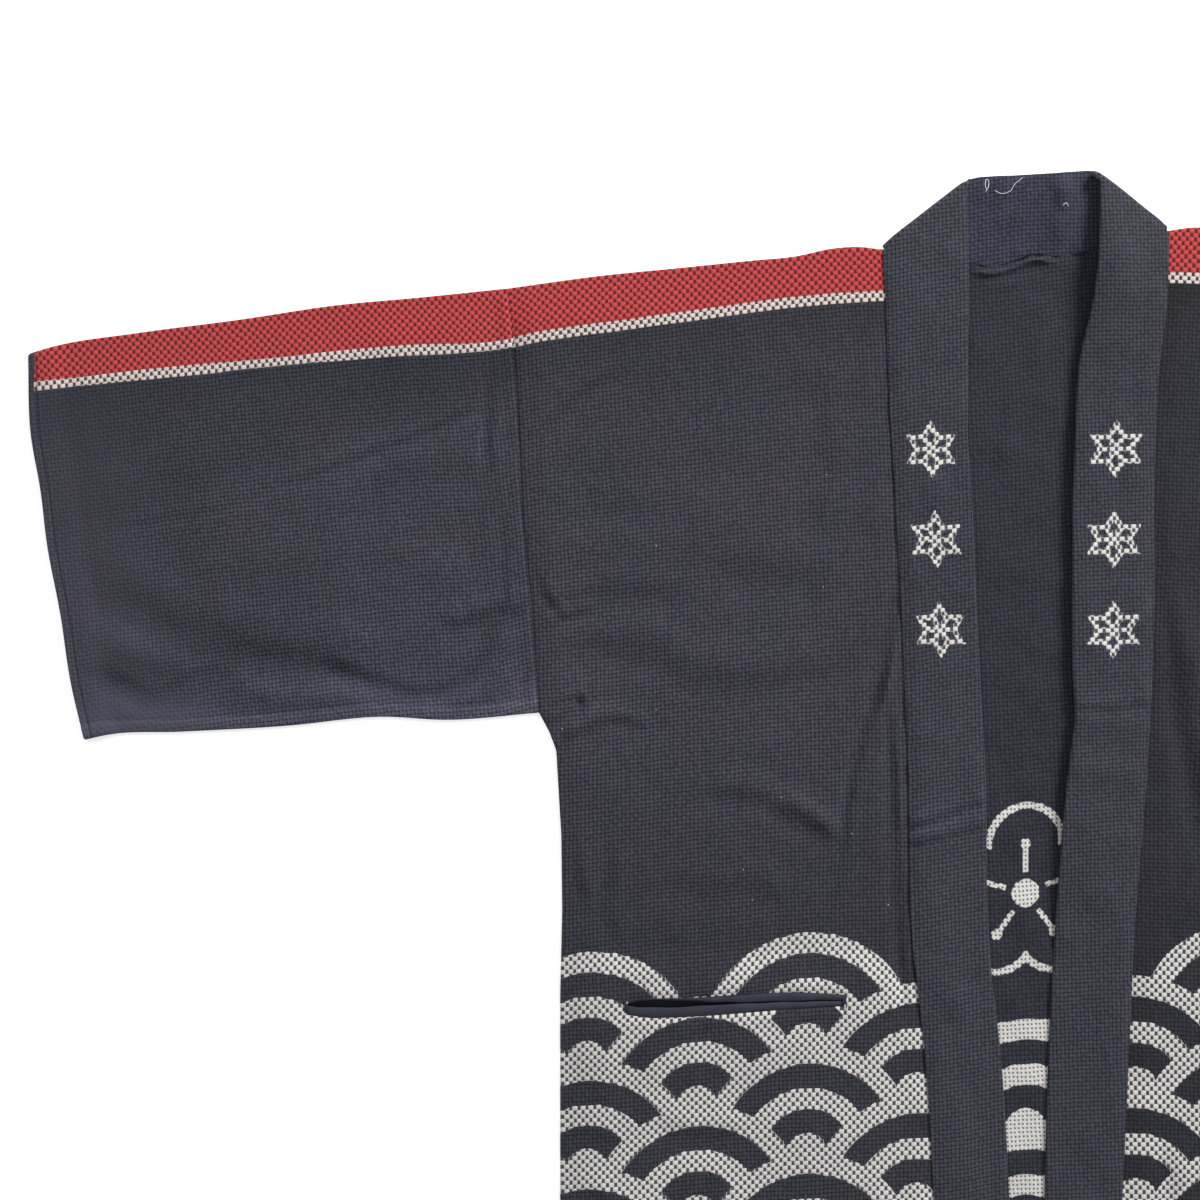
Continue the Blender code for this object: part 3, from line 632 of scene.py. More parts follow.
top = np.where(
    columns < 0, shoulder_height(-columns, -1), shoulder_height(columns, 1)
) - under_turning
top = np.where(np.abs(columns) > NECK_INNER, top, straight_along(NECK_SEAM, columns) + 0.8)
low = hem_height(columns * side_out(HEM) / BACK_OUT)
levels = np.concatenate([np.linspace(0.0, 0.036, 30), np.linspace(0.040, 1.0, 140)])
up = top + (low - top) * levels[:, None]
lifted = np.where(columns > 0, left_lift(np.abs(columns), up), 0.0)
across = columns * side_out(up - lifted) / BACK_OUT
shown = smooth((44.0 - np.abs(across)) / 14.0) * smooth((up + 395.0) / 40.0)
rise = settled(folds(BACK_FOLDS, across, up) + lumps(across, up, 3, 24.0, 0.4) + 0.2)
rise = rise * smooth((top - up) / 2.5)
gathers = 0.5 + 0.5 * np.sin(across * 0.52 + 1.5 * np.sin(across * 0.11))
rise = (rise + 0.9 * gathers * hump(top - up, 0.0, 7.0)) * shown
middle = together(across, up, CLOTH / 2 + rise)
hem_out = edge_outward(middle[-1], (0.0, -1.0))
middle[-1] -= hem_out * TURN_REACH
down_normal = level(middle, -1.0)
hem, hem_normals = turn(middle[-1], down_normal[-1], hem_out, STEP / 2, TURN_ANGLES)
middle = np.stack([*middle, *hem, hem[-1] - hem_out * HEM_TURNING])
normal = np.stack([*down_normal, *hem_normals, hem_normals[-1]])
x, y = middle[..., 0], middle[..., 1]
back = cloth_wall("back_cloth", middle, normal, CLOTH, {
    "weave": together(x + BACK_LEAN * y, printed_down(x, y)),
    "printed": together(x, printed_down(x, y)),
    "sewn": together(y - hem_height(np.minimum(np.abs(x), SIDE_OUT)), x),
})
back.data.materials.append(
    stitched_cotton(
        "back cotton", light=(0.0305, 0.0302, 0.0410), dark=DARK, cell=(2.69, 2.82),
        prints=[(RED, red_on_back), (PINKED_WHITE, white_on_back),
                (WHITE, waves_from(BACK_WAVES)), (WHITE, plum_crest)],
        stitches=(HEM_STITCHES,),
    )
)
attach(back, "root")
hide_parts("back")


# ------------------------------------------------------------------ the two fronts
# Each front is one panel of the same cotton. It folds over the shoulder to the back, its long
# edge goes in under the collar, and its hem is turned up and stitched. The right one is slit
# for the pocket. A wave pattern is printed over the lower part.

COLLAR_OVERLAP = 8.0
NECK_OVERLAP = 1.6
NECK_NARROWING = 40.0
SHOULDER_TURNING = 6.0
COLLAR_SEAM = [  # hem to shoulder
    # up, right side's out, left side's out
    (-425, 52, 55), (-290, 58.5, 61), (-150, 66.8, 67.5), (-77, 74.7, 70.8), (28, 77.3, 79),
    (124.5, 81.2, 83.6), (222, 86.5, 84), (289, 90.4, 86.6), (340, 92, 92.4), (374, 94.2, 93.6),
    (390, 94.6, 93.6),
]
SLIT_OUT = (118.6, 262.0)
SLIT_UP = -121.3
SLIT_DEPTH = 9.8
SLIT_UPPER = [  # the slit's edge above the pocket's mouth, and the one below
    # out, up
    (118.6, -114.4), (148.7, -112.7), (186, -114), (217.5, -116.2), (240, -116.8),
    (254, -117.8), (262, -119.7),
]
SLIT_LOWER = [
    # out, up
    (118.6, -122), (123.8, -122.2), (167.7, -125.1), (211.6, -128.4), (245, -130),
    (262, -127.7),
]
BAG_OUT = (110.0, 270.0)
BAG_DEPTH = 150.0
BAG_LIFT = 2.6         # what the pocket's bag raises the front by
BAG_EASE = 5.0
BAG_ABOVE = 14.0
BAG_BELOW = 8.0
BAG_SLOPE = 26.0
HEM_ZONE = 34.0
TURN_EASE = 2.0
RIGHT_FOLDS = [
    # height, step, half width, path of out and up
    (2.8, 0, 85, [(226, 224), (210, 150), (190, 70)]),
    (1.2, 0, 60, [(230, -30), (200, -60), (160, -90)]),
    (1, 0, 50, [(240, -250), (200, -300), (160, -350)]),
    (-0.8, -2.7, 4.6, [(326, 172), (319, 154.6), (306, 135.6), (299, 128)]),
    (0.5, -2.9, 5, [(318, 122), (306.5, 130.3), (290.8, 136.2), (276, 140)]),
    (0.6, -2.8, 15, [(318, 92), (308, 104.8), (297, 114), (279, 116), (248, 110.7),
                     (209.6, 96.9), (163, 93), (116.6, 108.7), (96, 120)]),
    (0.6, -2.2, 11, [(320, 132), (302, 143.4), (263.3, 150.6), (230, 150), (206, 146)]),
    (0.4, -2.4, 18, [(206, 158), (180, 162.4), (150, 160), (124, 150)]),
    (-0.8, -3.3, 3.8, [(314, 58), (305, 66), (296.7, 74), (290, 84)]),
    (-0.4, -2.6, 2.6, [(312, 72), (303, 78), (294, 80), (286, 76)]),
    (0.5, -1.1, 2.8, [(296, 98), (292, 86), (288, 70), (289, 58)]),
    (1.2, -2.8, 6, [(308, 50), (296, 55.6), (280, 64), (262, 66), (244, 58)]),
    (0.8, -2.9, 9, [(226, 18), (209.6, 17.7), (182, 17.7), (155.2, 4.6), (126.4, -11.1),
                    (112, -20)]),
    (2, 0, 5, [(160, 20), (146, 9.5), (133, -1), (124, -9)]),
    (-1.2, -4.6, 5, [(84, 150), (89.7, 112), (97.6, 78), (107.4, 50.4), (115.3, 12.4),
                     (119, -18), (122, -40)]),
    (-1.3, -9, 6.2, [(78, 156), (84, 132), (89.7, 112), (95, 90), (101, 66)]),
    (2, 0, 7, [(88, 84), (96, 44), (100, 16), (106, -26)]),
    (-0.8, -7.8, 4.8, [(88, 92), (87, 58), (85.4, 4.6), (83, -40), (79, -104), (74, -150)]),
    (-0.7, -2.6, 7, [(300, -10), (294, -40), (290, -53), (286, -70)]),
    (-0.8, -3, 8, [(270, -6), (271.2, -33.4), (274.4, -60), (268, -84)]),
    (-0.4, -2.1, 6, [(340, 226), (321, 250.9), (302, 269), (286.2, 281.7), (258, 299)]),
    (-0.7, -2, 18, [(214, 178), (187, 169.5), (157, 163), (128, 156)]),
    (-0.4, -1.6, 14, [(290, 216), (262, 204), (236, 206), (206, 214)]),
    (-0.5, -1.8, 14, [(142, 310), (132, 256), (136, 196), (128, 140)]),
    (-0.4, -1.8, 12, [(240, -34), (210, -46), (178, -44), (150, -60)]),
    (-0.5, -1.9, 10, [(250, -196), (214, -206), (176, -200)]),
    (-0.8, -3.2, 9, [(292, -236), (262, -262), (226, -276), (180, -272)]),
    (1.9, 0, 12, [(276, -252), (240, -270), (200, -268)]),
    (-0.7, -2.7, 9, [(96, -230), (104, -276), (98, -326), (112, -372)]),
]
LEFT_FOLDS = [
    # height, step, half width, path of out and up
    (2.8, 0, 85, [(230, 214), (206, 140), (196, 60)]),
    (1.2, 0, 60, [(210, -60), (190, -90), (170, -120)]),
    (1, 0, 50, [(236, -270), (206, -310), (170, -340)]),
    (-0.8, 3, 7, [(330, 186), (316, 164), (306, 142)]),
    (0.7, -2.8, 15, [(318, 84), (296, 106), (270, 110), (240, 100), (206, 86), (166, 84)]),
    (1.9, -1.1, 13, [(300, 126), (270, 128), (240, 118), (214, 106)]),
    (-1.1, -4.1, 6, [(316, 52), (302, 60), (290, 76)]),
    (1.1, -2.7, 8, [(296, 36), (268, 50), (240, 44), (216, 28)]),
    (1.1, -3.2, 9, [(256, -12), (220, 2), (186, -2), (156, -20), (126, -32)]),
    (3, 0, 8, [(186, 8), (160, -4), (136, -20)]),
    (-0.8, 3.2, 8, [(88, 156), (97, 110), (100, 66), (110, 20), (120, -50)]),
    (1.9, 0, 7, [(106, 130), (112, 84), (120, 36), (128, -20)]),
    (-0.7, 2.2, 9, [(298, 0), (290, -50), (284, -96)]),
    (-0.7, 1.9, 9, [(262, -30), (268, -90), (260, -134)]),
    (-0.5, -2.3, 11, [(326, 240), (308, 272), (276, 294)]),
    (-0.5, 1.8, 14, [(146, 300), (136, 236), (142, 160)]),
    (-0.8, -3, 9, [(292, -176), (250, -206), (206, -212), (156, -204)]),
    (1.9, 0, 12, [(270, -196), (232, -208), (190, -204)]),
    (-0.7, 2.6, 9, [(90, -196), (98, -256), (92, -310), (104, -370)]),
    (-0.5, -2.2, 10, [(244, -316), (206, -334), (156, -328)]),
]
SEAM_DIPS = (0.0, 1.0, 2.2, 3.6, 5.2, 7.2)     # close columns along a seam
# Painted shade down in the armhole's seam: how much darker, and how far out from it.
SEAM_PAINTED_SHADE = 0.55       # how much darker the cloth is down in the armhole's seam
SEAM_SHADE = 0.8       # and how far out from it
FRONT_WIDTH = 246.0    # rough measures of a panel, for the spacing of its grid
FRONT_LENGTH = 780.0
FRONT_WAVES = 418.0    # below the band, to the first row
FRONT_LEAN = 0.0419    # the weave bends off straight towards the shoulder
LEAN_LENGTH = 460.0


def collar_seam(up, side):
    return along(COLLAR_SEAM, up, 1 if side < 0 else 2)


def front_edge(up, side):
    """Where a front's edge lies under the collar."""
    tuck = COLLAR_OVERLAP * smooth((NECK_UP - up) / NECK_NARROWING)
    return collar_seam(up, side) - NECK_OVERLAP - tuck


def panel_place(s, t, side):
    """A place on a front: s from the side seam to the centre, t from shoulder to hem."""
    neck_point, (shoulder_point, _) = SHOULDER[0][0], SHOULDER[-1]
    out = shoulder_point + (neck_point - shoulder_point) * s
    for _ in range(6):
        top = shoulder_height(out, side)
        up = top + (hem_height(out) - top) * t
        seam_out = side_out(unlifted(out, up, side))
        out = seam_out + (front_edge(up, side) - seam_out) * s
    return out, up


def bag_rise(out, up):
    """0 away from the pocket's bag and 1 over it."""
    inner, outer = BAG_OUT[0] - BAG_EASE, BAG_OUT[1] + BAG_EASE
    over = smooth(1 + (out - inner) / BAG_SLOPE) * smooth(1 + (outer - out) / BAG_SLOPE)
    top, bottom = SLIT_UP + BAG_ABOVE, SLIT_UP - BAG_DEPTH - BAG_BELOW
    return over * smooth(1 + (top - up) / BAG_SLOPE) * smooth(1 + (up - bottom) / BAG_SLOPE)


def hem_rise(out, up):
    """0 above the hem's turn-up and 1 over it."""
    above = up - hem_height(out) - HEM_TURNING - TURN_EASE
    return smooth(1 - above / (HEM_ZONE - HEM_TURNING))


def front_height(out, up, side):
    """Height of the middle of a front's wall."""
    from_seam = out - collar_seam(up, side)
    low = unlifted(out, up, side)
    calm = smooth((up - HEM - 20.0) / 60.0) * smooth((360.0 - up) / 50.0)
    calm = calm * smooth((from_seam + 1.0) / 14.0) * smooth((side_out(low) - out) / 16.0)
    table, seed = (RIGHT_FOLDS, 11) if side < 0 else (LEFT_FOLDS, 12)
    soft = folds(table, out, low) + lumps(out, low, seed, 34.0, 0.2)
    soft = soft + lumps(out, low, seed + 9, 90.0, 0.4)
    height = STEP + CLOTH / 2 + settled(soft + 2.2) * calm
    puckers = 0.3 + 0.3 * np.sin(up / 7.6 + 1.8 * np.sin(up / 31.0))
    height = height + puckers * hump(from_seam, 4.0, 4.0) * smooth((350.0 - up) / 60.0)
    height = height + 2 * STEP * hem_rise(out, up)
    return height + (BAG_LIFT * bag_rise(out, up) if side < 0 else 0.0)


def slit_levels():
    """The two levels of a right front that the slit lies between."""
    middle_out = sum(SLIT_OUT) / 2
    length = shoulder_height(middle_out, -1) - hem_height(middle_out)
    centre = (shoulder_height(middle_out, -1) - SLIT_UP) / length
    return centre - SLIT_DEPTH / 2 / length, centre + SLIT_DEPTH / 2 / length


def slit_shares():
    """The two shares of a right front's width that the slit lies between."""
    edge, side_seam = front_edge(SLIT_UP, -1), side_out(SLIT_UP)
    return [(side_seam - end) / (side_seam - edge) for end in reversed(SLIT_OUT)]


slit_top, slit_bottom = slit_levels()
slit_start, slit_end = slit_shares()
beside_slit = np.array(SEAM_DIPS) / FRONT_WIDTH
beside_slit = np.concatenate([beside_slit, np.linspace(beside_slit[-1] + 0.010, slit_start, 18)])
along_slit = np.linspace(slit_start, slit_end, 60)[1:]
shares = np.concatenate([beside_slit, along_slit, np.linspace(slit_end, 1.0, 26)[1:]])
over_slit = np.append(np.linspace(0.0, slit_top - 0.004, 190), [slit_top - 0.0018, slit_top])
levels = np.concatenate([
    over_slit, [slit_bottom, slit_bottom + 0.0018], np.linspace(slit_bottom + 0.004, 1.0, 110),
])
slit_rows = (len(over_slit) - 1, len(over_slit))
slit_columns = (len(beside_slit) - 1, len(beside_slit) + len(along_slit) - 1)

# The left front's cotton is a darker copy of the right's: painted shade, for the dimmer light on
# that side.
for name, side, light in (
    ("front_right", -1, (0.047, 0.0475, 0.066)), ("front_left", 1, (0.029, 0.0305, 0.041)),
):
    s, t = np.meshgrid(shares, levels)
    out, up = panel_place(s, t, side)
    z = front_height(out, up, side)
    if side < 0:
        # The cloth follows the two lips of the pocket and rolls down a little to them.
        above = t <= slit_top
        lip_up = np.where(above, straight_along(SLIT_UPPER, out), straight_along(SLIT_LOWER, out))
        straight_up = np.where(above, up[slit_rows[0]], up[slit_rows[1]])
        near = np.where(above, slit_top - t, t - slit_bottom) * FRONT_LENGTH
        within = smooth((out - SLIT_OUT[0] + 7.0) / 7.0) * smooth((SLIT_OUT[1] + 7.0 - out) / 7.0)
        up = up + (lip_up - straight_up) * smooth(1 - near / 34.0) * within
        z = z - 0.5 * np.exp(-near / 1.6) * within + 0.4 * hump(near, 5.0, 3.0) * within
    low = unlifted(out, up, side)
    from_side = side_out(low) - out
    armhole = smooth((low - 52.0) / 20.0)
    dipped = armhole * smooth((335.0 - low) / 8.0)
    z = z + (0.3 * hump(from_side, 5.0, 3.0) - 0.7 * np.exp(-from_side)) * dipped
    panel = together(out * side, up, z)
    shoulder_out = edge_outward(panel[0], (0.0, 1.0))
    panel[0] -= shoulder_out * TURN_REACH
    hem_out = edge_outward(panel[-1], (0.0, -1.0))
    panel[-1] -= hem_out * TURN_REACH
    up_normal = level(panel)
    # Below the armhole the side edge rounds down to the back, to which it is sewn.
    for column, (tilt, drop) in enumerate(((0.9, 0.45), (0.5, 0.15))):
        share = (1 - armhole[:, column]) * tilt
        up_normal[:, column, 0] = side * share
        up_normal[:, column, 2] = np.sqrt(1 - share**2)
        panel[:, column, 2] -= drop * (1 - armhole[:, column])
    over, over_normals = turn(panel[0], up_normal[0], shoulder_out, STEP / 2, TURN_ANGLES)
    lip = over[-1] - shoulder_out * SHOULDER_TURNING
    hem, hem_normals = turn(panel[-1], up_normal[-1], hem_out, STEP / 2, TURN_ANGLES)
    middle = np.stack([lip, *over[::-1], *panel, *hem, hem[-1] - hem_out * HEM_TURNING])
    normal = np.stack(
        [over_normals[-1], *over_normals[::-1], *up_normal, *hem_normals, hem_normals[-1]]
    )
    x, y = middle[..., 0], middle[..., 1]
    out = np.abs(x)
    down = printed_down(x, y)
    lean = side * FRONT_LEAN * np.maximum(y, 0.0) ** 2 / LEAN_LENGTH
    # Paler over the chest and by the armhole, darker under the band, low down and by the collar's
    # seam, with painted shade down in the armhole's seam.
    tone_and_painted_shade = 0.05 - 0.15 * smooth(1 - down / 120.0) - 0.23 * smooth(1 - down / 46.0)
    tone_and_painted_shade = tone_and_painted_shade - 0.20 * smooth((down - 310.0) / 130.0)
    tone_and_painted_shade = tone_and_painted_shade - 0.12 * hump(out, collar_seam(y, side), 22.0)
    tone_and_painted_shade = tone_and_painted_shade + 0.14 * hump(y, 76.0, 52.0) * smooth((out - 105.0) / 60.0)
    tone_and_painted_shade = tone_and_painted_shade + 0.09 * smooth((out - 250.0) / 60.0) * smooth((y - 20.0) / 60.0)
    first = 1 + len(over)
    # Painted shade down in the armhole's seam, where the cloth dips.
    tone_and_painted_shade[first : first + len(panel)] -= SEAM_PAINTED_SHADE * np.exp(-from_side / SEAM_SHADE) * dipped
    if side > 0:
        tone_and_painted_shade = tone_and_painted_shade + 0.07 * smooth((50.0 - y) / 60.0) - 0.08 * smooth((y - 120.0) / 60.0)
    window = (first + slit_rows[0], first + slit_rows[1], *slit_columns)
    piece = cloth_wall(name + "_cloth", middle, normal, CLOTH, {
        "weave": together(x - lean, down),
        "printed": together(x, down),
        "sewn": together(y - hem_height(out), x),
    }, tone_and_painted_shade, window=window if side < 0 else None)
    piece.data.materials.append(
        stitched_cotton(
            name.replace("_", " ") + " cotton", light, DARK, cell=(2.64, 2.77),
            prints=[(RED, red_band), (PINKED_WHITE, white_line),
                    (WHITE, waves_from(FRONT_WAVES))],
            stitches=(HEM_STITCHES,),
        )
    )
    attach(piece, "root")
    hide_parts(name)


# ------------------------------------------------------------------ the two sleeves
# Each sleeve is one rectangle of the cotton folded over the arm. Its two edges are sewn
# together underneath, its cuff is turned in and stitched, and it is set into the armhole with
# its allowance pressed towards the cuff. The red band runs on along its fold.

SLEEVE_TOP = [  # cuff to armhole
    # out, up
    (653.7, 304.6), (636.7, 309.8), (584.3, 318.3), (514.2, 327.5), (452.6, 336.7),
    (396.9, 341.9), (339.4, 347.8),
]
SLEEVE_BOTTOM = [  # cuff to underarm
    # out, up
    (617, 51.7), (601.9, 55), (554.8, 57), (484.7, 60.9), (421.8, 66.8), (379.9, 64.8),
    (319.4, 69.5),
]
CUFF = [  # shoulder to underside
    # out, up
    (653.7, 304.6), (652, 254.8), (645.2, 214.8), (641, 180.1), (632.1, 133), (625, 86.5),
    (617, 51.7),
]
SLEEVE_LENGTH = 314.0
SLEEVE_HEIGHT = 265.0  # laid flat
CUFF_TURNING = 10.0
CUFF_STITCHES = 6.0    # from the turned edge to the row of sewing
CUFF_ZONE = 24.0
FOLD_ANGLES = (72.0, 48.0, 24.0, 0.0, -24.0, -48.0, -72.0)
BAND_END = 4.6         # the printing stops this far from the cuff
SLEEVE_LEAN = (0.084, 0.02)    # how far off straight the weave runs, each way
ELBOW = (394.0, 138.0)         # out and up
SHADE_START = (597.0, 191.0)   # the cloth is drawn darker above a line that slants from here
SHADE_SLANT = 0.345
RIGHT_SLEEVE_FOLDS = [
    # height, step, half width, path of out and up
    (3.2, 0, 90, [(560, 180), (470, 196), (420, 200)]),
    (-0.8, -5.8, 21, [(626, 158), (583.6, 140.8), (548.9, 121.8), (514.8, 113.3), (480, 106.1),
                      (445.4, 101), (424, 96), (396, 92)]),
    (-1, -3, 8, [(474, 106), (460, 103), (445.4, 97.6), (428.4, 91), (404.1, 84.5),
                 (379.9, 82.5), (366, 88)]),
    (-3, 0, 4.6, [(400, 80), (378, 84), (363.5, 97), (353, 117.2), (347, 139), (344, 160)]),
    (0.2, -5.6, 20, [(660, 120), (622, 109), (578, 99), (545, 94), (506, 92)]),
    (-0.4, -4.4, 5.5, [(345, 312), (349.4, 280), (350.6, 252), (349, 218)]),
    (-0.4, -4, 3.2, [(343.5, 208), (341, 184), (340, 160), (338, 132)]),
    (3.4, 0, 12, [(540, 84), (500, 84), (450, 80), (420, 72)]),
    (2.6, 0, 9, [(384, 70), (360, 74), (346, 90), (338, 108)]),
    (2, 0, 12, [(600, 118), (566, 102), (540, 92)]),
    (-1.6, -3.4, 7, [(574, 78), (556, 84), (545, 91), (532, 94), (518, 93)]),
    (0.4, -3, 9, [(640, 108), (620, 97), (597.4, 93), (573.1, 80.6), (556, 80)]),
    (0.3, -1.6, 8, [(520, 92), (508, 84), (492, 76)]),
    (-0.5, -5.4, 10, [(386, 121), (363, 129), (343, 135.5), (318, 142)]),
    (-0.4, 1.9, 4.2, [(336, 300), (351, 277), (383.8, 258), (445.4, 233.8), (490, 218)]),
    (-0.2, 0.9, 4.6, [(430, 238), (490, 218), (534.5, 202.4), (597.4, 191.3), (620, 188)]),
    (-0.4, 1.8, 14, [(340, 234), (372, 228), (411.3, 224), (438.9, 199.8), (454, 180)]),
    (1.2, -0.8, 14, [(430, 180), (390, 166), (362, 150)]),
]
SLEEVE_CREASE_SHADE = [        # painted shade along a crease of the lower fold
    # share paler, step, half width, path of out and up
    (-0.17, 0, 4.6, [(394, 80), (374, 85), (361, 99), (351, 120), (345, 142)]),
]
LEFT_SLEEVE_FOLDS = [
    # height, step, half width, path of out and up
    (3.2, 0, 90, [(550, 190), (480, 204), (410, 190)]),
    (-0.8, -6.2, 19, [(616, 168), (580, 146), (548, 138), (508, 124), (470, 120), (438, 106),
                      (402, 98), (376, 104)]),
    (-0.5, -4.1, 11, [(400, 96), (374, 104), (356, 124), (342, 158)]),
    (3.1, 0, 10, [(474, 98), (436, 82), (396, 72), (350, 80)]),
    (2.4, 0, 12, [(592, 128), (556, 118), (516, 104), (484, 96)]),
    (0.4, -3, 8, [(580, 76), (552, 88), (524, 84), (504, 74)]),
    (0.4, -3.2, 9, [(630, 142), (614, 112), (590, 88)]),
    (-0.4, -2.7, 16, [(504, 236), (450, 250), (400, 262), (350, 284)]),
    (-0.5, -2.4, 18, [(394, 232), (370, 218), (346, 196)]),
    (1.8, 0, 12, [(630, 240), (616, 206), (610, 170)]),
    (-0.4, -1.9, 18, [(596, 204), (550, 190), (500, 184), (470, 166)]),
]


def sleeve_place(s, t):
    """A place on a sleeve: s from cuff to armhole, t from shoulder to underside."""
    top_out = SLEEVE_TOP[0][0] + (SLEEVE_TOP[-1][0] - SLEEVE_TOP[0][0]) * s
    low_out = SLEEVE_BOTTOM[0][0] + (SLEEVE_BOTTOM[-1][0] - SLEEVE_BOTTOM[0][0]) * s
    top_up, low_up = along(SLEEVE_TOP, top_out), along(SLEEVE_BOTTOM, low_out)
    cuff_up = CUFF[0][1] + (CUFF[-1][1] - CUFF[0][1]) * t
    hole_up = SLEEVE_TOP[-1][1] + (SLEEVE_BOTTOM[-1][1] - SLEEVE_TOP[-1][1]) * t
    out = (1 - s) * along(swapped(CUFF), cuff_up) + s * (side_out(hole_up) + SEWN_GAP)
    return np.stack([out, (1 - t) * top_up + t * low_up], axis=-1)


def red_on_sleeve(across, down):
    return red_band(across, down) * across.rise(BAND_END - FRAYED, BAND_END + FRAYED)


def white_on_sleeve(across, down):
    return white_line(across, down) * across.rise(BAND_END - FRAYED, BAND_END + FRAYED)


seam_rows = 1 - np.array(SEAM_DIPS[::-1]) / SLEEVE_LENGTH
rows = np.append(np.linspace(0.0, 1.0 - 11.0 / SLEEVE_LENGTH, 120), seam_rows)[:, None]
from_cuff = rows * SLEEVE_LENGTH
layers = 1 + 2 * smooth(1 - (from_cuff - CUFF_TURNING - TURN_EASE) / (CUFF_ZONE - CUFF_TURNING))
radius = layers * STEP / 2
place_top, place_low = sleeve_place(rows[:, 0], 0.0), sleeve_place(rows[:, 0], 1.0)
slant = (place_top - place_low) / np.linalg.norm(place_top - place_low, axis=1)[:, None]
inward = slant * (radius + CLOTH / 2)
LOW_ROUND = np.array((12.0, 9.5, 8.2, 7.2, 6.2, 5.0, 3.6, 2.2, 1.0, 0.0))  # close to the low edge
upper_shares = np.append(np.linspace(0.0, 0.94, 110), 1 - LOW_ROUND / SLEEVE_HEIGHT)

for name, side, table, seed in (
    ("sleeve_right", -1, RIGHT_SLEEVE_FOLDS, 21), ("sleeve_left", 1, LEFT_SLEEVE_FOLDS, 22),
):
    loops, loop_normals = [], []
    for upper, shares_round in ((True, upper_shares), (False, np.linspace(1.0, 0.0, 40))):
        s, t = np.meshgrid(rows[:, 0], shares_round, indexing="ij")
        flat = sleeve_place(s, t)
        flat -= inward[:, None] * (1 - t)[..., None] - inward[:, None] * t[..., None]
        out, up = flat[..., 0], flat[..., 1]
        z = np.full(out.shape, CLOTH / 2)
        if upper:
            from_hole = (1 - s) * SLEEVE_LENGTH
            calm = smooth(t / 0.14) * smooth((1 - t) / 0.07) * smooth(from_hole / 20.0)
            calm = calm * smooth(s * SLEEVE_LENGTH / 34.0)
            soft = folds(table, out, up) + lumps(out, up, seed, 36.0, 0.2) + 2.2
            soft = soft + lumps(out, up, seed + 9, 100.0, 0.5)
            z = z + 2 * radius + settled(soft) * calm
            edges = smooth(t / 0.03) * smooth((1 - t) / 0.03)
            z = z + 1.1 * smooth(from_hole / 2.5) * smooth((8.5 - from_hole) / 4.0) * edges
            z = z - 0.5 * np.exp(-from_hole / 1.5) * edges
            from_low = (1 - t) * SLEEVE_HEIGHT
            z = z + 0.5 * hump(from_low, 3.6, 2.6) - 0.4 * hump(from_low, 7.2, 1.1)
        point = together(out, up, z)
        loops.append(point)
        loop_normals.append(level(point, 1.0 if upper else -1.0))
        turned, turned_normals = [], []
        centre = (place_low + inward) if upper else (place_top - inward)
        towards = -slant if upper else slant
        for angle in FOLD_ANGLES if upper else FOLD_ANGLES[::-1]:
            c, n = math.cos(math.radians(angle)), math.sin(math.radians(angle))
            direction = np.column_stack([towards * c, np.full(len(rows), n)])
            turned.append(np.column_stack([centre, CLOTH / 2 + radius]) + radius * direction)
            turned_normals.append(direction)
        loops.append(np.stack(turned, axis=1))
        loop_normals.append(np.stack(turned_normals, axis=1))
    tube = np.concatenate(loops, axis=1)
    tube_normals = np.concatenate(loop_normals, axis=1)

    # The cuff: the cloth turns in all round and lies on the inside of the tube.
    cuff_line = np.array([CUFF[0][0] - CUFF[-1][0], CUFF[0][1] - CUFF[-1][1]])
    cuff_line /= np.linalg.norm(cuff_line)
    cuff_out = np.tile([cuff_line[1], -cuff_line[0], 0.0], (tube.shape[1], 1))
    tube[0] -= cuff_out * TURN_REACH
    turned, turned_normals = turn(tube[0], tube_normals[0], cuff_out, STEP / 2, TURN_ANGLES)
    middle = np.stack([turned[-1] - cuff_out * CUFF_TURNING, *turned[::-1], *tube])
    normal = np.stack([turned_normals[-1], *turned_normals[::-1], *tube_normals])
    if side > 0:
        middle[..., 1] += left_lift(middle[..., 0], middle[..., 1])
    else:
        middle[..., 0] *= -1
        normal[..., 0] *= -1
    x, y = middle[..., 0], middle[..., 1]
    out, down = np.abs(x), below_band(x, y)
    low = unlifted(out, y, side)
    to_cuff = along(swapped(CUFF), np.clip(low, CUFF[-1][1], CUFF[0][1])) - out
    bottom_ends = SLEEVE_BOTTOM[-1][0], SLEEVE_BOTTOM[0][0]
    to_bottom = low - along(SLEEVE_BOTTOM, np.clip(out, *bottom_ends))
    # Paler along the lower edge and the cuff and over the elbow, darker above a slanting line,
    # under the band and beside the armhole, with painted shade along a crease of the lower fold
    # and down in the armhole's seam.
    lower_edge = 0.66 + 0.34 * smooth((500.0 - out) / 120.0)
    tone_and_painted_shade = lower_edge * hump(to_bottom, 0.0, 19.0) + 0.28 * hump(to_cuff, 0.0, 13.0)
    above = low - SHADE_START[1] - SHADE_SLANT * (SHADE_START[0] - out)
    tone_and_painted_shade = tone_and_painted_shade + 0.03 - 0.15 * smooth(0.4 + above / 30.0) - 0.24 * smooth(1 - down / 60.0)
    tone_and_painted_shade = tone_and_painted_shade + 0.15 * hump(out, ELBOW[0], 52.0) * hump(low, ELBOW[1], 36.0)
    tone_and_painted_shade = tone_and_painted_shade - 0.07 * hump(out, 345.0, 13.0) * smooth((low - 110.0) / 40.0)
    # Painted shade along a crease of the lower fold, on the right sleeve.
    if side < 0:
        tone_and_painted_shade = tone_and_painted_shade + folds(SLEEVE_CREASE_SHADE, out, y)
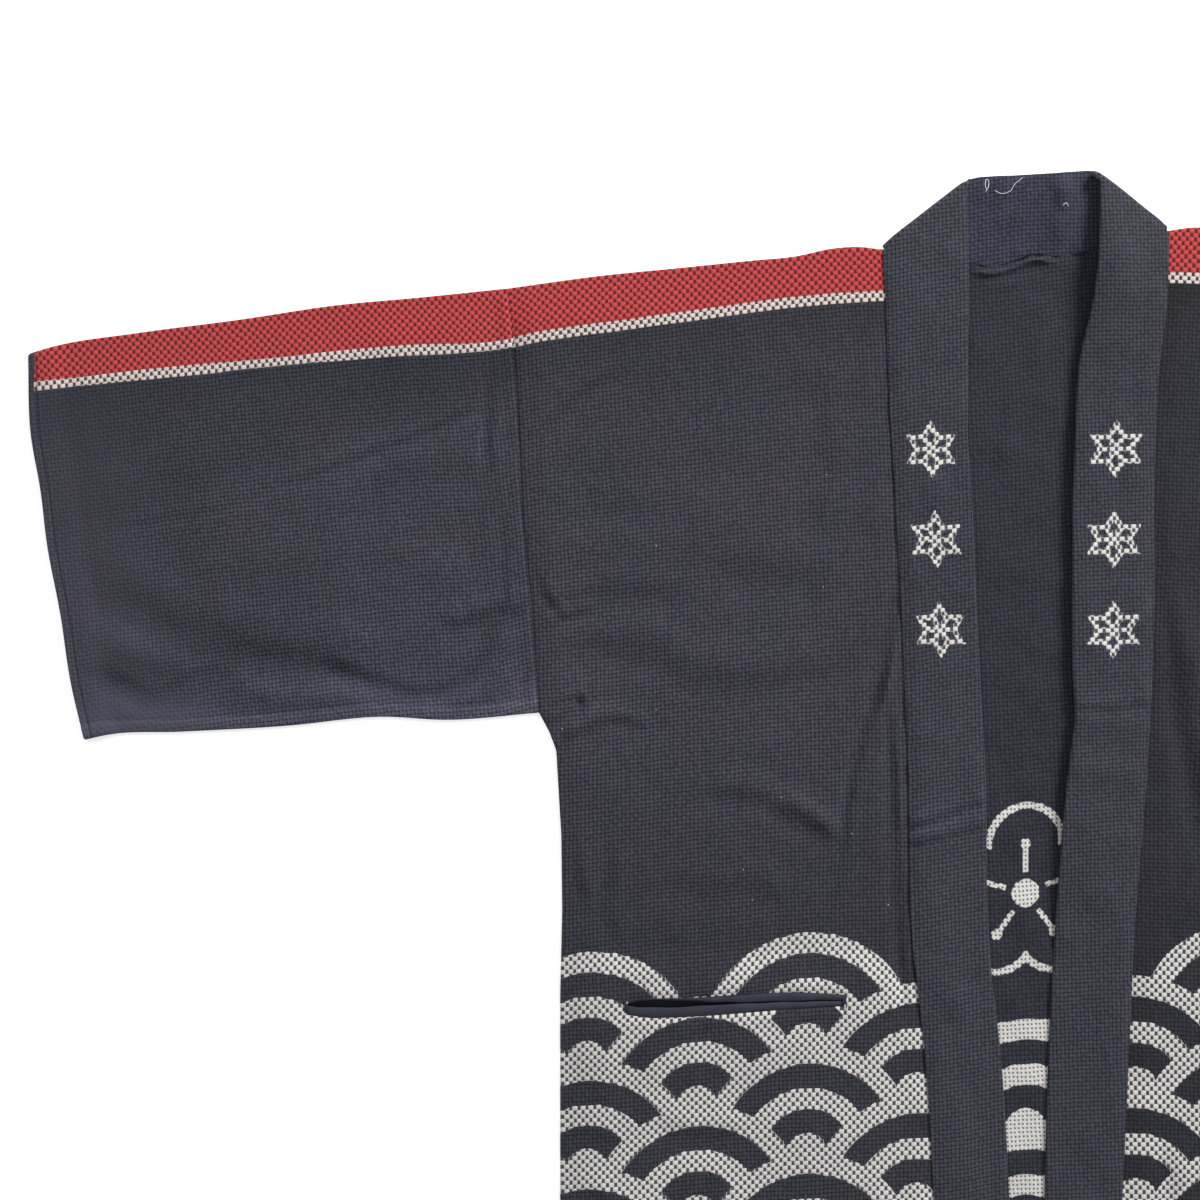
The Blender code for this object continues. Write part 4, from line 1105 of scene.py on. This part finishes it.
    # Painted shade down in the armhole's seam, where the cloth dips.
    tone_and_painted_shade[-len(tube) :] -= SEAM_PAINTED_SHADE * np.exp((from_cuff - SLEEVE_LENGTH) / SEAM_SHADE)
    matted = 0.62 * smooth((118.0 - to_cuff) / 90.0) + 0.34 * smooth((34.0 - to_bottom) / 22.0)
    piece = cloth_wall(name + "_cloth", middle, normal, CLOTH, {
        "weave": together(x - side * SLEEVE_LEAN[0] * y, down - side * SLEEVE_LEAN[1] * x),
        "printed": together(to_cuff, down),
        "sewn": together(to_cuff, y),
    }, tone_and_painted_shade, matted, ring=True)
    piece.data.materials.append(
        stitched_cotton(
            name.replace("_", " ") + " cotton",
            light=(0.050, 0.053, 0.075), dark=(0.004, 0.004, 0.008), cell=(2.54, 2.73),
            prints=[(RED, red_on_sleeve), (PINKED_WHITE, white_on_sleeve)],
            stitches=(CUFF_STITCHES,),
        )
    )
    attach(piece, "root")
    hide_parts(name)


# ------------------------------------------------------------------ the collar band
# One long strip of the cotton doubled lengthwise, sewn to both front edges and round the
# neck, from hem to hem. It folds over at each shoulder, so that its inner side shows behind
# the neck. A row of six-petalled hemp leaves is printed on each side of the chest.

COLLAR = 2.4           # the doubled strip
BAND_WIDTH = 50.0
BAND_RADIUS = (COLLAR + 0.6) / 2
COLLAR_FREE = [  # hem to shoulder
    # up, right side's out, left side's out
    (-425, 3, 5.4), (-290, 9, 11), (-150, 17, 14.8), (-90, 23.6, 17.8), (39, 26.9, 27.4),
    (64, 28.3, 30.6), (100, 30.4, 29.4), (140, 32.4, 29.2), (209, 35.4, 29.6), (250, 38, 31),
    (300, 38, 34.2), (340, 37.6, 42), (388, 38.6, 46), (426, 39.6, 47.6),
]
RIGHT_FOLD = ((-94.6, 376.4), (-39.6, 419.0))
LEFT_FOLD = ((93.6, 388.6), (44.4, 423.4))
LEFT_ROLL = 1.5        # the left shoulder's fold is that much rounder at its free end
NECK_TOP = [  # right fold to left fold
    # across, up
    (-36.6, 419.4), (-30.8, 420.6), (-9.2, 420.9), (19, 422.6), (38.6, 424.9), (41.2, 425),
]
CORNER_ROUND = 0.6     # the free ends of the two folds turn towards the neck
CORNER_TRIM = 0.9      # and are that much blunter than the fold
FREE_EDGE_WAVE = 8.2   # the left side's free edge stands up beside the neck
FREE_EDGE_LIFT = 4.9   # and less so along the chest
NECK_STANDS = 5.0      # the stretch behind the neck stands up to its free edge
CREASED = (0.485, 0.655)       # rows stand close where the band is creased across
BAND_RISES = {-1: (290.0, 50.0), 1: (230.0, 110.0)}    # where each side climbs to its fold
BAND_STEP = (0.2, 0.6)         # across the band, from the front's edge down to the back
BAND_EASE = 0.2
REACHED = np.array((-26.0, -13.0, 0.0, 13.0, 26.0))    # how far the stiff band bridges dips
EDGE_SHARES = (0.0, 0.006, 0.018, 0.036, 0.07)     # close columns at the band's two edges
BAND_SLOPES = (0.150, 0.052)   # how the weave's rows rise across it, right side and left
BAND_LEAN = 0.018              # and how far off straight it runs along the band
BAND_FOLDS = [
    # height, step, half width, path of across and up
    (1.3, 0, 12, [(-100, -16), (-74, -11), (-51, -4), (-28, 2), (-4, 8)]),
    (0.9, 0, 3.4, [(-100, -9), (-73.4, -1.4), (-51.7, 6.6), (-30.1, 14.4), (-4, 22)]),
    (-1.5, 0, 2.6, [(-100, -15), (-73.4, -7.2), (-51.7, 0.7), (-30.1, 8.5), (-4, 16)]),
    (0.6, 0, 3.5, [(-98, -20), (-72, -13), (-50, -7.5), (-30, -2.9), (-4, 3)]),
    (-0.8, 0, 2.8, [(-98, -24), (-70, -17.6), (-50, -12.4), (-30.1, -8), (-4, -2)]),
    (0.8, 0, 14, [(-60, 300), (-56, 240), (-60, 170)]),
    (0.8, 0, 12, [(-50, 110), (-54, 60), (-50, 20)]),
    (0.8, 0, 10, [(-56, -40), (-48, -90), (-50, -140)]),
    (1.1, 0, 13, [(4, 68), (30, 66), (54, 65), (80, 68), (106, 70)]),
    (0.9, 0, 4.4, [(4, 80), (30, 78), (51.1, 77), (80, 80), (106, 83)]),
    (-1.3, 0, 3.4, [(4, 73), (30, 71), (51.1, 70), (80, 73), (106, 76)]),
    (0.8, 0, 14, [(64, 330), (58, 260), (54, 190)]),
    (0.8, 0, 10, [(50, 60), (46, 0), (50, -80)]),
    (0.7, 0.2, 8, [(-40, -200), (-34, -260), (-38, -330)]),
    (0.7, 0.2, 8, [(44, -180), (38, -250), (34, -320)]),
    (-0.8, 0.3, 5, [(-74, 352), (-66, 362), (-54, 376)]),
    (0.7, 0, 6, [(74, 352), (66, 372), (56, 390)]),
]
NECK_FOLDS = [
    # height, step, half width, path of across and up
    (-0.8, -4.6, 4.5, [(14, 420), (10.6, 408.7), (2, 401), (-4, 389), (-8, 376)]),
    (1.2, 0, 5, [(24, 418), (20, 396), (14, 378)]),
    (-0.8, -5.6, 8, [(34, 424), (30, 404), (28, 388), (30, 374)]),
    (0.8, 0, 6, [(-24, 414), (-20, 396), (-22, 372)]),
    (0.9, 0, 6, [(34, 420), (32, 400), (36, 380)]),
]


def inset_fold(fold):
    """The axis of a slanted fold, its outer line moved in by its reach, and its way out."""
    (x_0, y_0), (x_1, y_1) = fold
    out = np.array([y_0 - y_1, x_1 - x_0]) / math.hypot(x_1 - x_0, y_1 - y_0)
    out *= math.copysign(1.0, out[1])
    reach = BAND_RADIUS + COLLAR / 2
    return [(x - out[0] * reach, y - out[1] * reach) for x, y in fold], out


rows = np.linspace(0.0, 1.0, 184) ** 0.92      # hem to shoulder
band_rows = np.concatenate([
    rows[rows < CREASED[0]], np.linspace(*CREASED, 96), rows[rows > CREASED[1]],
])
shares = np.concatenate([
    EDGE_SHARES, np.linspace(0.12, 0.88, 11), 1 - np.array(EDGE_SHARES[::-1]),
])
to_edge = np.minimum(shares, 1 - shares) * BAND_WIDTH
rounded = np.sqrt(1 - (1 - np.clip(to_edge / 1.5, 0.0, 1.0)) ** 2)
seam_thinned = 0.4 + 0.6 * smooth(shares * BAND_WIDTH / 8.0)   # where its seam pulls it flat
stretches = {}


def fold_radius(side):
    roll = LEFT_ROLL if side > 0 else 0.0
    return BAND_RADIUS + roll * smooth((shares - 0.2) / 0.8)


for side, fold in ((-1, RIGHT_FOLD), (1, LEFT_FOLD)):
    axis, _ = inset_fold(fold)
    start = hem_height(0.0) - 1.0
    q = band_rows[:, None]
    seam_up, free_up = start + (axis[0][1] - start) * q, start + (axis[1][1] - start) * q
    x_0 = side * collar_seam(seam_up, side)
    x_1 = side * along(COLLAR_FREE, free_up, 1 if side < 0 else 2)
    x_0[-1], x_1[-1] = axis[0][0], axis[1][0]
    x, y = x_0 + (x_1 - x_0) * shares, seam_up + (free_up - seam_up) * shares
    near = y[..., None] + REACHED
    front_out = np.maximum(np.abs(x), front_edge(y, side))[..., None] + 0.0 * near
    on_front = front_height(front_out, near, side).max(axis=-1) + (CLOTH + COLLAR) / 2 + GAP
    on_back = STEP + COLLAR / 2 + STEP * hem_rise(0.0, near).max(axis=-1) + BAND_EASE
    low = on_front + (on_back - on_front) * smooth((shares - BAND_STEP[0]) / BAND_STEP[1])
    high = COLLAR / 2 + 2 * fold_radius(side)
    z = low + (high - low) * smooth((y - BAND_RISES[side][0]) / BAND_RISES[side][1])
    if side > 0:
        z = z + FREE_EDGE_WAVE * smooth(shares * 1.2) * hump(y, 366.0, 44.0)
        chest = smooth((y + 90.0) / 90.0) * smooth((305.0 - y) / 60.0)
        z = z + FREE_EDGE_LIFT * smooth(shares) * chest
    soft = folds(BAND_FOLDS, x, y) + lumps(x, y, 31, 22.0, 0.35) + 0.25
    calm = smooth(q[:, 0] / 0.03)[:, None] * smooth((1 - q[:, 0]) / 0.02)[:, None]
    z = z + settled(soft) * calm * smooth(to_edge / 7.0 + 0.25)
    puckers = 0.25 * np.sin(y / 5.1 + 1.5 * np.sin(y / 23.0)) * np.exp(-to_edge / 3.0)
    z = z + puckers * (shares < 0.5) * calm - COLLAR / 2 * (1 - seam_thinned)
    stretches[side] = together(x, y, z)

right_axis, right_out = inset_fold(RIGHT_FOLD)
left_axis, left_out = inset_fold(LEFT_FOLD)
seam_line = [right_axis[0], *NECK_SEAM[1:-1], left_axis[0]]
top_line = [right_axis[1], *NECK_TOP, left_axis[1]]
q = np.linspace(0.0, 1.0, 56)[:, None]
seam_x = seam_line[0][0] + (seam_line[-1][0] - seam_line[0][0]) * q
top_x = top_line[0][0] + (top_line[-1][0] - top_line[0][0]) * q
seam_up, top_up = straight_along(seam_line, seam_x), straight_along(top_line, top_x)
seam_up[1:-1] = (seam_up[:-2] + seam_up[1:-1] + seam_up[2:]) / 3
x, y = seam_x + (top_x - seam_x) * shares, seam_up + (top_up - seam_up) * shares
# The free edge runs on a little over the two folds' corners.
x[1] -= 1.2 * shares**6
x[-2] += 3.4 * shares**6
x[-3] += 1.8 * shares**6
soft = settled(folds(NECK_FOLDS, x, y) + lumps(x, y, 33, 16.0, 0.4) + 0.2)
shown = smooth((44.0 - np.abs(x)) / 8.0)
puckers = 0.5 * (1 + np.sin(x * 0.62 + 1.2 * np.sin(x * 0.13)))
puckers = puckers * np.exp(-shares * BAND_WIDTH / 9.0)
standing = NECK_STANDS * smooth(shares) * smooth((x + 38.0) / 26.0) * smooth((42.0 - x) / 24.0)
z = COLLAR / 2 + (soft * smooth((1 - shares) * 7.0) + puckers) * shown + standing
neck = together(x, y, z)
upward = np.tile([0.0, 0.0, 1.0], (len(shares), 1))
turned = {}
for side, out in ((-1, right_out), (1, left_out)):
    bend = CORNER_ROUND * smooth((shares - 0.75) / 0.25)[:, None]
    outward = np.array([*out, 0.0]) * (1 - bend) + np.array([0.0, 1.0, 0.0]) * bend
    outward /= np.linalg.norm(outward, axis=1)[:, None]
    radius = fold_radius(side)[:, None]
    stretches[side][-1, :, :2] -= out * CORNER_TRIM * smooth((shares - 0.93) / 0.07)[:, None]
    turned[side] = turn(stretches[side][-1], upward, outward, radius, FOLD_ANGLES)
middle = np.stack([
    *stretches[-1], *turned[-1][0], *neck, *turned[1][0][::-1], *stretches[1][::-1],
])
normal = np.stack(
    [upward] * len(band_rows) + turned[-1][1] + [-upward] * len(neck) + turned[1][1][::-1]
    + [upward] * len(band_rows)
)
x, y = middle[..., 0], middle[..., 1]
on_front = np.arange(len(middle)) < len(band_rows)
on_front = (on_front | on_front[::-1])[:, None]
slope = np.where(x[:, :1] < 0, *BAND_SLOPES)
tone_and_painted_shade = 0.12 - 0.12 * smooth((x + 20.0) / 40.0) * smooth((y - 180.0) / 120.0)
tone_and_painted_shade = tone_and_painted_shade + 0.08 * smooth((-x - 20.0) / 20.0) * smooth((y - 280.0) / 60.0)
tone_and_painted_shade = tone_and_painted_shade + np.where(x < 0, 0.15 * smooth((160.0 - y) / 110.0), 0.07 * smooth((50.0 - y) / 90.0))
thickness = COLLAR * (0.2 + 0.8 * rounded) * seam_thinned
collar = cloth_wall("collar_cloth", middle, normal, thickness, {
    "weave": together(x + BAND_LEAN * y, slope * x - y),
    "printed": together((shares - 0.5) * BAND_WIDTH, np.where(on_front, -y, -900.0)),
}, tone_and_painted_shade)

LEAF = 19.0            # from a leaf's middle to the tips of its petals
LEAF_LINE = 3.3
LEAF_MIDDLES = (-242.0, -183.0, -124.0)    # down the band
LEAF_SLANT = (0.5, 0.866)      # cosine and sine of a petal's sloping sides


def hemp_leaves(across, down):
    """Three stars of six pointed petals, drawn in outline."""
    stars = None
    line = LEAF_LINE / 2 + FRAYED, LEAF_LINE / 2 - FRAYED
    for middle_down in LEAF_MIDDLES:
        away, out, aside = petals(6, across, down - middle_down)
        tip = (out * LEAF_SLANT[0] + aside * LEAF_SLANT[1] - (LEAF - LEAF_LINE) / 2).size()
        spoke = (out * LEAF_SLANT[0] - aside * LEAF_SLANT[1]).size()
        spoke = spoke.rise(*line) * away.rise(LEAF * 0.62, LEAF * 0.58)
        star = tip.rise(*line).or_(spoke) * out.rise(LEAF, LEAF - 0.6)
        stars = star if stars is None else stars.or_(star)
    return stars


collar.data.materials.append(
    stitched_cotton(
        "collar cotton", light=(0.039, 0.0425, 0.059), dark=DARK, cell=(2.61, 2.69),
        prints=[(WHITE, hemp_leaves)],
    )
)
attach(collar, "root")
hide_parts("collar")


# ------------------------------------------------------------------ the pocket
# The slit in the right front is bound with two lips of smooth blue-black cotton, each a strip
# folded double, that meet over the pocket's mouth. The bag is the same smooth cotton, folded
# at the bottom, and hangs between the front and the back; it is drawn darker than the lips, as
# painted shade inside the pocket.

MOUTH = [  # side seam to centre
    # out, up, half of its opening
    (262, -121.2, 0.3), (254, -120.8, 2), (240, -120.5, 2.5), (222, -120.4, 2),
    (206, -120.2, 1), (186, -119.9, 0.5), (154.6, -119, 0.35), (129.7, -118.3, 0.4),
    (118.6, -118.2, 0.15),
]
LIP = 0.6              # wall of the lips' cotton
LIP_RADIUS = 0.42
LIP_TURNING = 5.0      # the inner half of a lip
POCKETING = 1.0
FINE_WEAVE = 0.45      # from thread to thread


def smooth_cotton(name, light, dark):
    """A plain weave too fine to see as more than a grain, with soft slubs."""
    material, tree, shader = new_material(name)
    across, down, vector = place_on(tree, "weave")
    yarn, _ = unevenness(tree, vector, 900.0, detail=3.0)
    cloud, _ = unevenness(tree, vector, 60.0, detail=3.0)
    off_across, off_down = (((way / FINE_WEAVE).part() - 0.5).size() for way in (across, down))
    threads = off_across + off_down
    tone = (yarn - 0.5) * 1.2 + (cloud - 0.5) * 1.0 + threads * 0.5
    colour = mixed(tree, tone.rise(-0.3, 1.0), dark, light)
    tree.links.new(colour, shader.inputs["Base Color"])
    relief(tree, shader, threads + yarn, Strength=0.4, Distance=0.0001)
    settings(shader, Roughness=0.8, Specular_IOR_Level=0.25)
    settings(shader, Sheen_Weight=0.08, Sheen_Roughness=0.5)
    return material


lip_out = np.linspace(SLIT_OUT[1] - 0.3, SLIT_OUT[0] + 0.3, 60)
for name, upper, shown_width in (
    ("pocket_welt_upper", True, 0.0115), ("pocket_welt_lower", False, 0.0125),
):
    way = 1.0 if upper else -1.0
    edge_up = straight_along(SLIT_UPPER if upper else SLIT_LOWER, lip_out) - way * 0.25
    mouth_up = straight_along(MOUTH, lip_out) + way * straight_along(MOUTH, lip_out, 2)
    mouth_up = mouth_up + 0.15 * way * np.sin(lip_out * 0.23 + way)
    z = front_height(lip_out, np.full(len(lip_out), SLIT_UP), -1) - 0.15
    grid = []
    for share in (0.0, 0.12, 0.3, 0.5, 0.7, 0.88, 1.0):
        row_up = edge_up + (mouth_up + way * (LIP_RADIUS + LIP / 2) - edge_up) * share
        puff = 0.35 * math.sin(math.pi * share) + 0.12 * share * np.sin(lip_out * 0.31)
        grid.append(together(-lip_out, row_up, z + puff - 0.4 * (1 - share) ** 4))
    upward = level(grid[-1])
    outward = np.tile([0.0, -way, 0.0], (len(lip_out), 1))
    lip_turn, lip_normals = turn(grid[-1], upward, outward, LIP_RADIUS, TURN_ANGLES)
    inner = lip_turn[-1] + [0.0, way * LIP_TURNING, 0.0]
    middle = np.stack([*grid, *lip_turn, inner])
    normal = np.stack([*[upward] * len(grid), *lip_normals, lip_normals[-1]])
    piece = cloth_wall(name + "_cloth", middle, normal, LIP, {"weave": middle[..., :2].copy()})
    piece.data.materials.append(smooth_cotton(
        name.replace("_", " ") + " cotton",
        light=(0.035, 0.0375, 0.055), dark=(0.019, 0.0205, 0.031),
    ))
    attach(piece, "root")
    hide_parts(name)

across = -np.linspace(BAG_OUT[1], BAG_OUT[0], 40)
bag_radius = (POCKETING + GAP) / 2
bag_low = STEP + POCKETING / 2
bag_bottom = SLIT_UP - BAG_DEPTH
upper_rows = np.linspace(SLIT_UP - SLIT_DEPTH / 2 - 2.0, bag_bottom, 38)
lower_rows = np.linspace(bag_bottom + 4.0, SLIT_UP + SLIT_DEPTH / 2 + 4.0, 38)
upper = together(*np.meshgrid(across, upper_rows), bag_low + 2 * bag_radius)
lower = together(*np.meshgrid(across, lower_rows), bag_low)
downward = np.tile([0.0, -1.0, 0.0], (len(across), 1))
bag_turn, bag_normals = turn(upper[-1], level(upper)[-1], downward, bag_radius, TURN_ANGLES)
middle = np.stack([*upper, *bag_turn, *lower])
normal = np.stack([*level(upper), *bag_normals, *level(lower, -1.0)])
bag = cloth_wall("pocket_bag_cloth", middle, normal, POCKETING, {"weave": middle[..., :2].copy()})
# Darker than the lips' cotton: painted shade seen through the pocket's mouth.
bag.data.materials.append(
    smooth_cotton(
        "pocket bag cotton", light=(0.020, 0.021, 0.030), dark=(0.010, 0.0105, 0.016)
    )
)
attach(bag, "root")
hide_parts("pocket_bag")


# ------------------------------------------------------------------ thread
# Bar tacks of pale blue and black thread close the two ends of the slit. A few white ends of
# cotton, left where a tag was cut off, cling to the stretch behind the neck, and there is lint.


SIDES = 6              # of a strand
PALE_THREAD = 0.24     # radii
DARK_THREAD = 0.22
LINT_FIBRE = 0.16
TACKS = [
    # across, up, half of its length
    (-262, -122, 4.4), (-119.2, -120.4, 4.8),
]
KNOTS = [  # ends of the pale thread, each a path of across and up
    [(-119.6, -121), (-118.6, -122.2), (-119.8, -123.4), (-118.4, -124.4), (-119.4, -122)],
    [(-118.6, -120.6), (-119.4, -121.8), (-118.2, -123.2), (-119.2, -124.8)],
    [(-261.8, -118.8), (-261, -119.6), (-261.9, -120.3)],
]


def thread(points, radius):
    """Points and faces of a thin round thread through a path, in millimetres."""
    p = np.array(points, dtype=float)
    line = np.concatenate([round_path(p[:, :2]), round_path(p[:, [0, 2]])[:, 1:]], axis=1)
    tangent = np.gradient(line, axis=0)
    tangent /= np.linalg.norm(tangent, axis=1)[:, None]
    beside = np.cross(tangent, [0.0, 0.0, 1.0])
    beside /= np.maximum(np.linalg.norm(beside, axis=1), 1e-6)[:, None]
    above = np.cross(beside, tangent)
    rings = []
    for k in range(SIDES):
        angle = 2 * math.pi * k / SIDES
        rings.append(line + radius * (math.cos(angle) * beside + math.sin(angle) * above))
    last = SIDES * (len(line) - 1)
    faces = [
        (i + k, i + (k + 1) % SIDES, i + SIDES + (k + 1) % SIDES, i + SIDES + k)
        for i in range(0, last, SIDES) for k in range(SIDES)
    ]
    ends = [tuple(range(SIDES))[::-1], tuple(range(last, last + SIDES))]
    return np.stack(rings, axis=1).reshape(-1, 3), faces + ends


def thread_piece(name, colour, strands):
    """One object of many strands, each a path and its radius."""
    points, faces = [], []
    for path, radius in strands:
        shift = len(points)
        more_points, more_faces = thread(path, radius)
        points.extend(more_points.tolist())
        faces.extend(tuple(shift + corner for corner in face) for face in more_faces)
    mesh = bpy.data.meshes.new(name)
    mesh.from_pydata((np.array(points) * MM).tolist(), [], faces)
    mesh.shade_smooth()
    piece = put_in(name, mesh)
    material, tree, shader = new_material(name.replace("_", " "))
    place = tree.nodes.new("ShaderNodeTexCoord")
    fluff, _ = unevenness(tree, place.outputs["Object"], 2500.0)
    colour = mixed(tree, fluff.rise(0.3, 0.7), tuple(0.55 * c for c in colour), colour)
    tree.links.new(colour, shader.inputs["Base Color"])
    settings(shader, Roughness=0.85)
    piece.data.materials.append(material)
    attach(piece, "root")


def over_front(x, y, raised):
    """A point raised that much above the right front's upper face."""
    z = float(front_height(np.array([-x]), np.array([y]), -1)[0])
    return (x, y, z + CLOTH / 2 + raised)


pale, dark = [], []
for x, y, half in TACKS:
    for k in range(6):
        across = x - 1.0 + 0.4 * k
        strand = [over_front(across, y - half, -0.5), over_front(across + 0.2, y - 2.0, 0.35),
                  over_front(across - 0.2, y + 2.0, 0.35), over_front(across, y + half, -0.5)]
        dark.append((strand, DARK_THREAD))
for knot in KNOTS:
    path = [over_front(x, y, 0.5 + 0.35 * (k % 2)) for k, (x, y) in enumerate(knot)]
    pale.append((path, PALE_THREAD))
thread_piece("bar_tacks_pale", (0.62, 0.66, 0.74), pale)
thread_piece("bar_tacks_dark", (0.020, 0.021, 0.030), dark)
BEHIND_NECK = COLLAR + NECK_STANDS + 2.6
THREAD_ENDS = [
    # radius, path of across, up and how far off the cloth
    (0.2, [(-27.6, 409.6, 0), (-26, 412.4, 0.5), (-25.6, 416.6, 0), (-27.4, 417.4, 0),
           (-27.8, 413, 0.4), (-26.6, 410.4, 0)]),
    (0.17, [(-21.6, 410.4, 0), (-17, 408.2, 0.8), (-11.6, 410, 0.5), (-8.6, 414.6, 0.7),
            (-5, 417.4, 0.3), (-3.6, 419, 0)]),
    (0.22, [(22.6, 400.6, 0), (24.8, 402.2, 0.6), (26.4, 400, 0)]),
]
white = [
    ([(x, y, BEHIND_NECK + off) for x, y, off in path], radius) for radius, path in THREAD_ENDS
]
LINT = [  # on the right front
    # across, up
    (-131, 225.3), (-242.4, 178.8), (-133, 152), (-242.4, 71.4), (-160.5, 14.4),
    (-114.6, -9.2), (-185.4, -32.8), (-179.5, -53.1), (-90.4, -56.3), (-303.9, 59),
]
for number, (x, y) in enumerate(LINT):
    dx, dy = 0.5 * math.cos(2.4 * number), 0.5 * math.sin(2.4 * number)
    bits = ((-1, 0.1), (0, 0.35), (1, 0.1))
    path = [over_front(x + dx * k, y + dy * k, off) for k, off in bits]
    white.append((path, LINT_FIBRE))
thread_piece("thread_ends", (0.80, 0.82, 0.86), white)


# ------------------------------------------------------------------ floor, light and camera
# The coat lies on a plain white floor lit from below, seen from straight above, in broad soft
# light from two windows beyond the shoulders, the one on the right the stronger.

bpy.ops.mesh.primitive_plane_add(size=40.0, location=(0.0, 0.0, 0.0))
floor = bpy.context.object
floor.name = "floor"
material, _, shader = new_material("floor")
settings(
    shader, Base_Color=(0.90, 0.90, 0.90, 1.0), Emission_Color=(1.0, 1.0, 1.0, 1.0),
    Emission_Strength=0.5, Roughness=0.9, Specular_IOR_Level=0.1,
)
floor.data.materials.append(material)

LIT = (-0.15, 0.05, 0.0)       # the place on the coat that every light faces
for name, place, size, power in (
    # metres and watts
    ("right_window", (1.5, 2.25, 1.5), 1.1, 133.0),
    ("left_window", (-2.0, 1.9, 1.5), 1.1, 18.0),
    ("ceiling", (-0.4, 0.2, 2.8), 2.4, 14.0),
):
    light = bpy.data.lights.new(name, "AREA")
    light.shape, light.size, light.energy = "DISK", size, power
    lamp = put_in(name, light)
    lamp.location = place
    east, north, above = (p - lit for p, lit in zip(place, LIT))
    pitch = math.atan2(math.hypot(east, north), above)
    lamp.rotation_euler = (pitch, 0.0, math.atan2(north, east) + math.pi / 2)

world = bpy.data.worlds.new("room")
bpy.context.scene.world = world
world.use_nodes = True
settings(world.node_tree.nodes["Background"], Color=(0.97, 0.98, 1.0, 1.0), Strength=0.31)
bpy.context.scene.view_settings.view_transform = "Standard"

HEIGHT = 1.5           # of the camera above the coat's face, in metres
FACE_HEIGHT = 0.003
SEEN = 0.786           # width of what it sees
SEEN_MIDDLE = (-0.27903, 0.1434)
camera_data = bpy.data.cameras.new("camera")
camera_data.sensor_width = 36.0
camera_data.lens = camera_data.sensor_width * HEIGHT / SEEN
camera = put_in("camera", camera_data)
camera.location = (*SEEN_MIDDLE, HEIGHT + FACE_HEIGHT)
bpy.context.scene.camera = camera
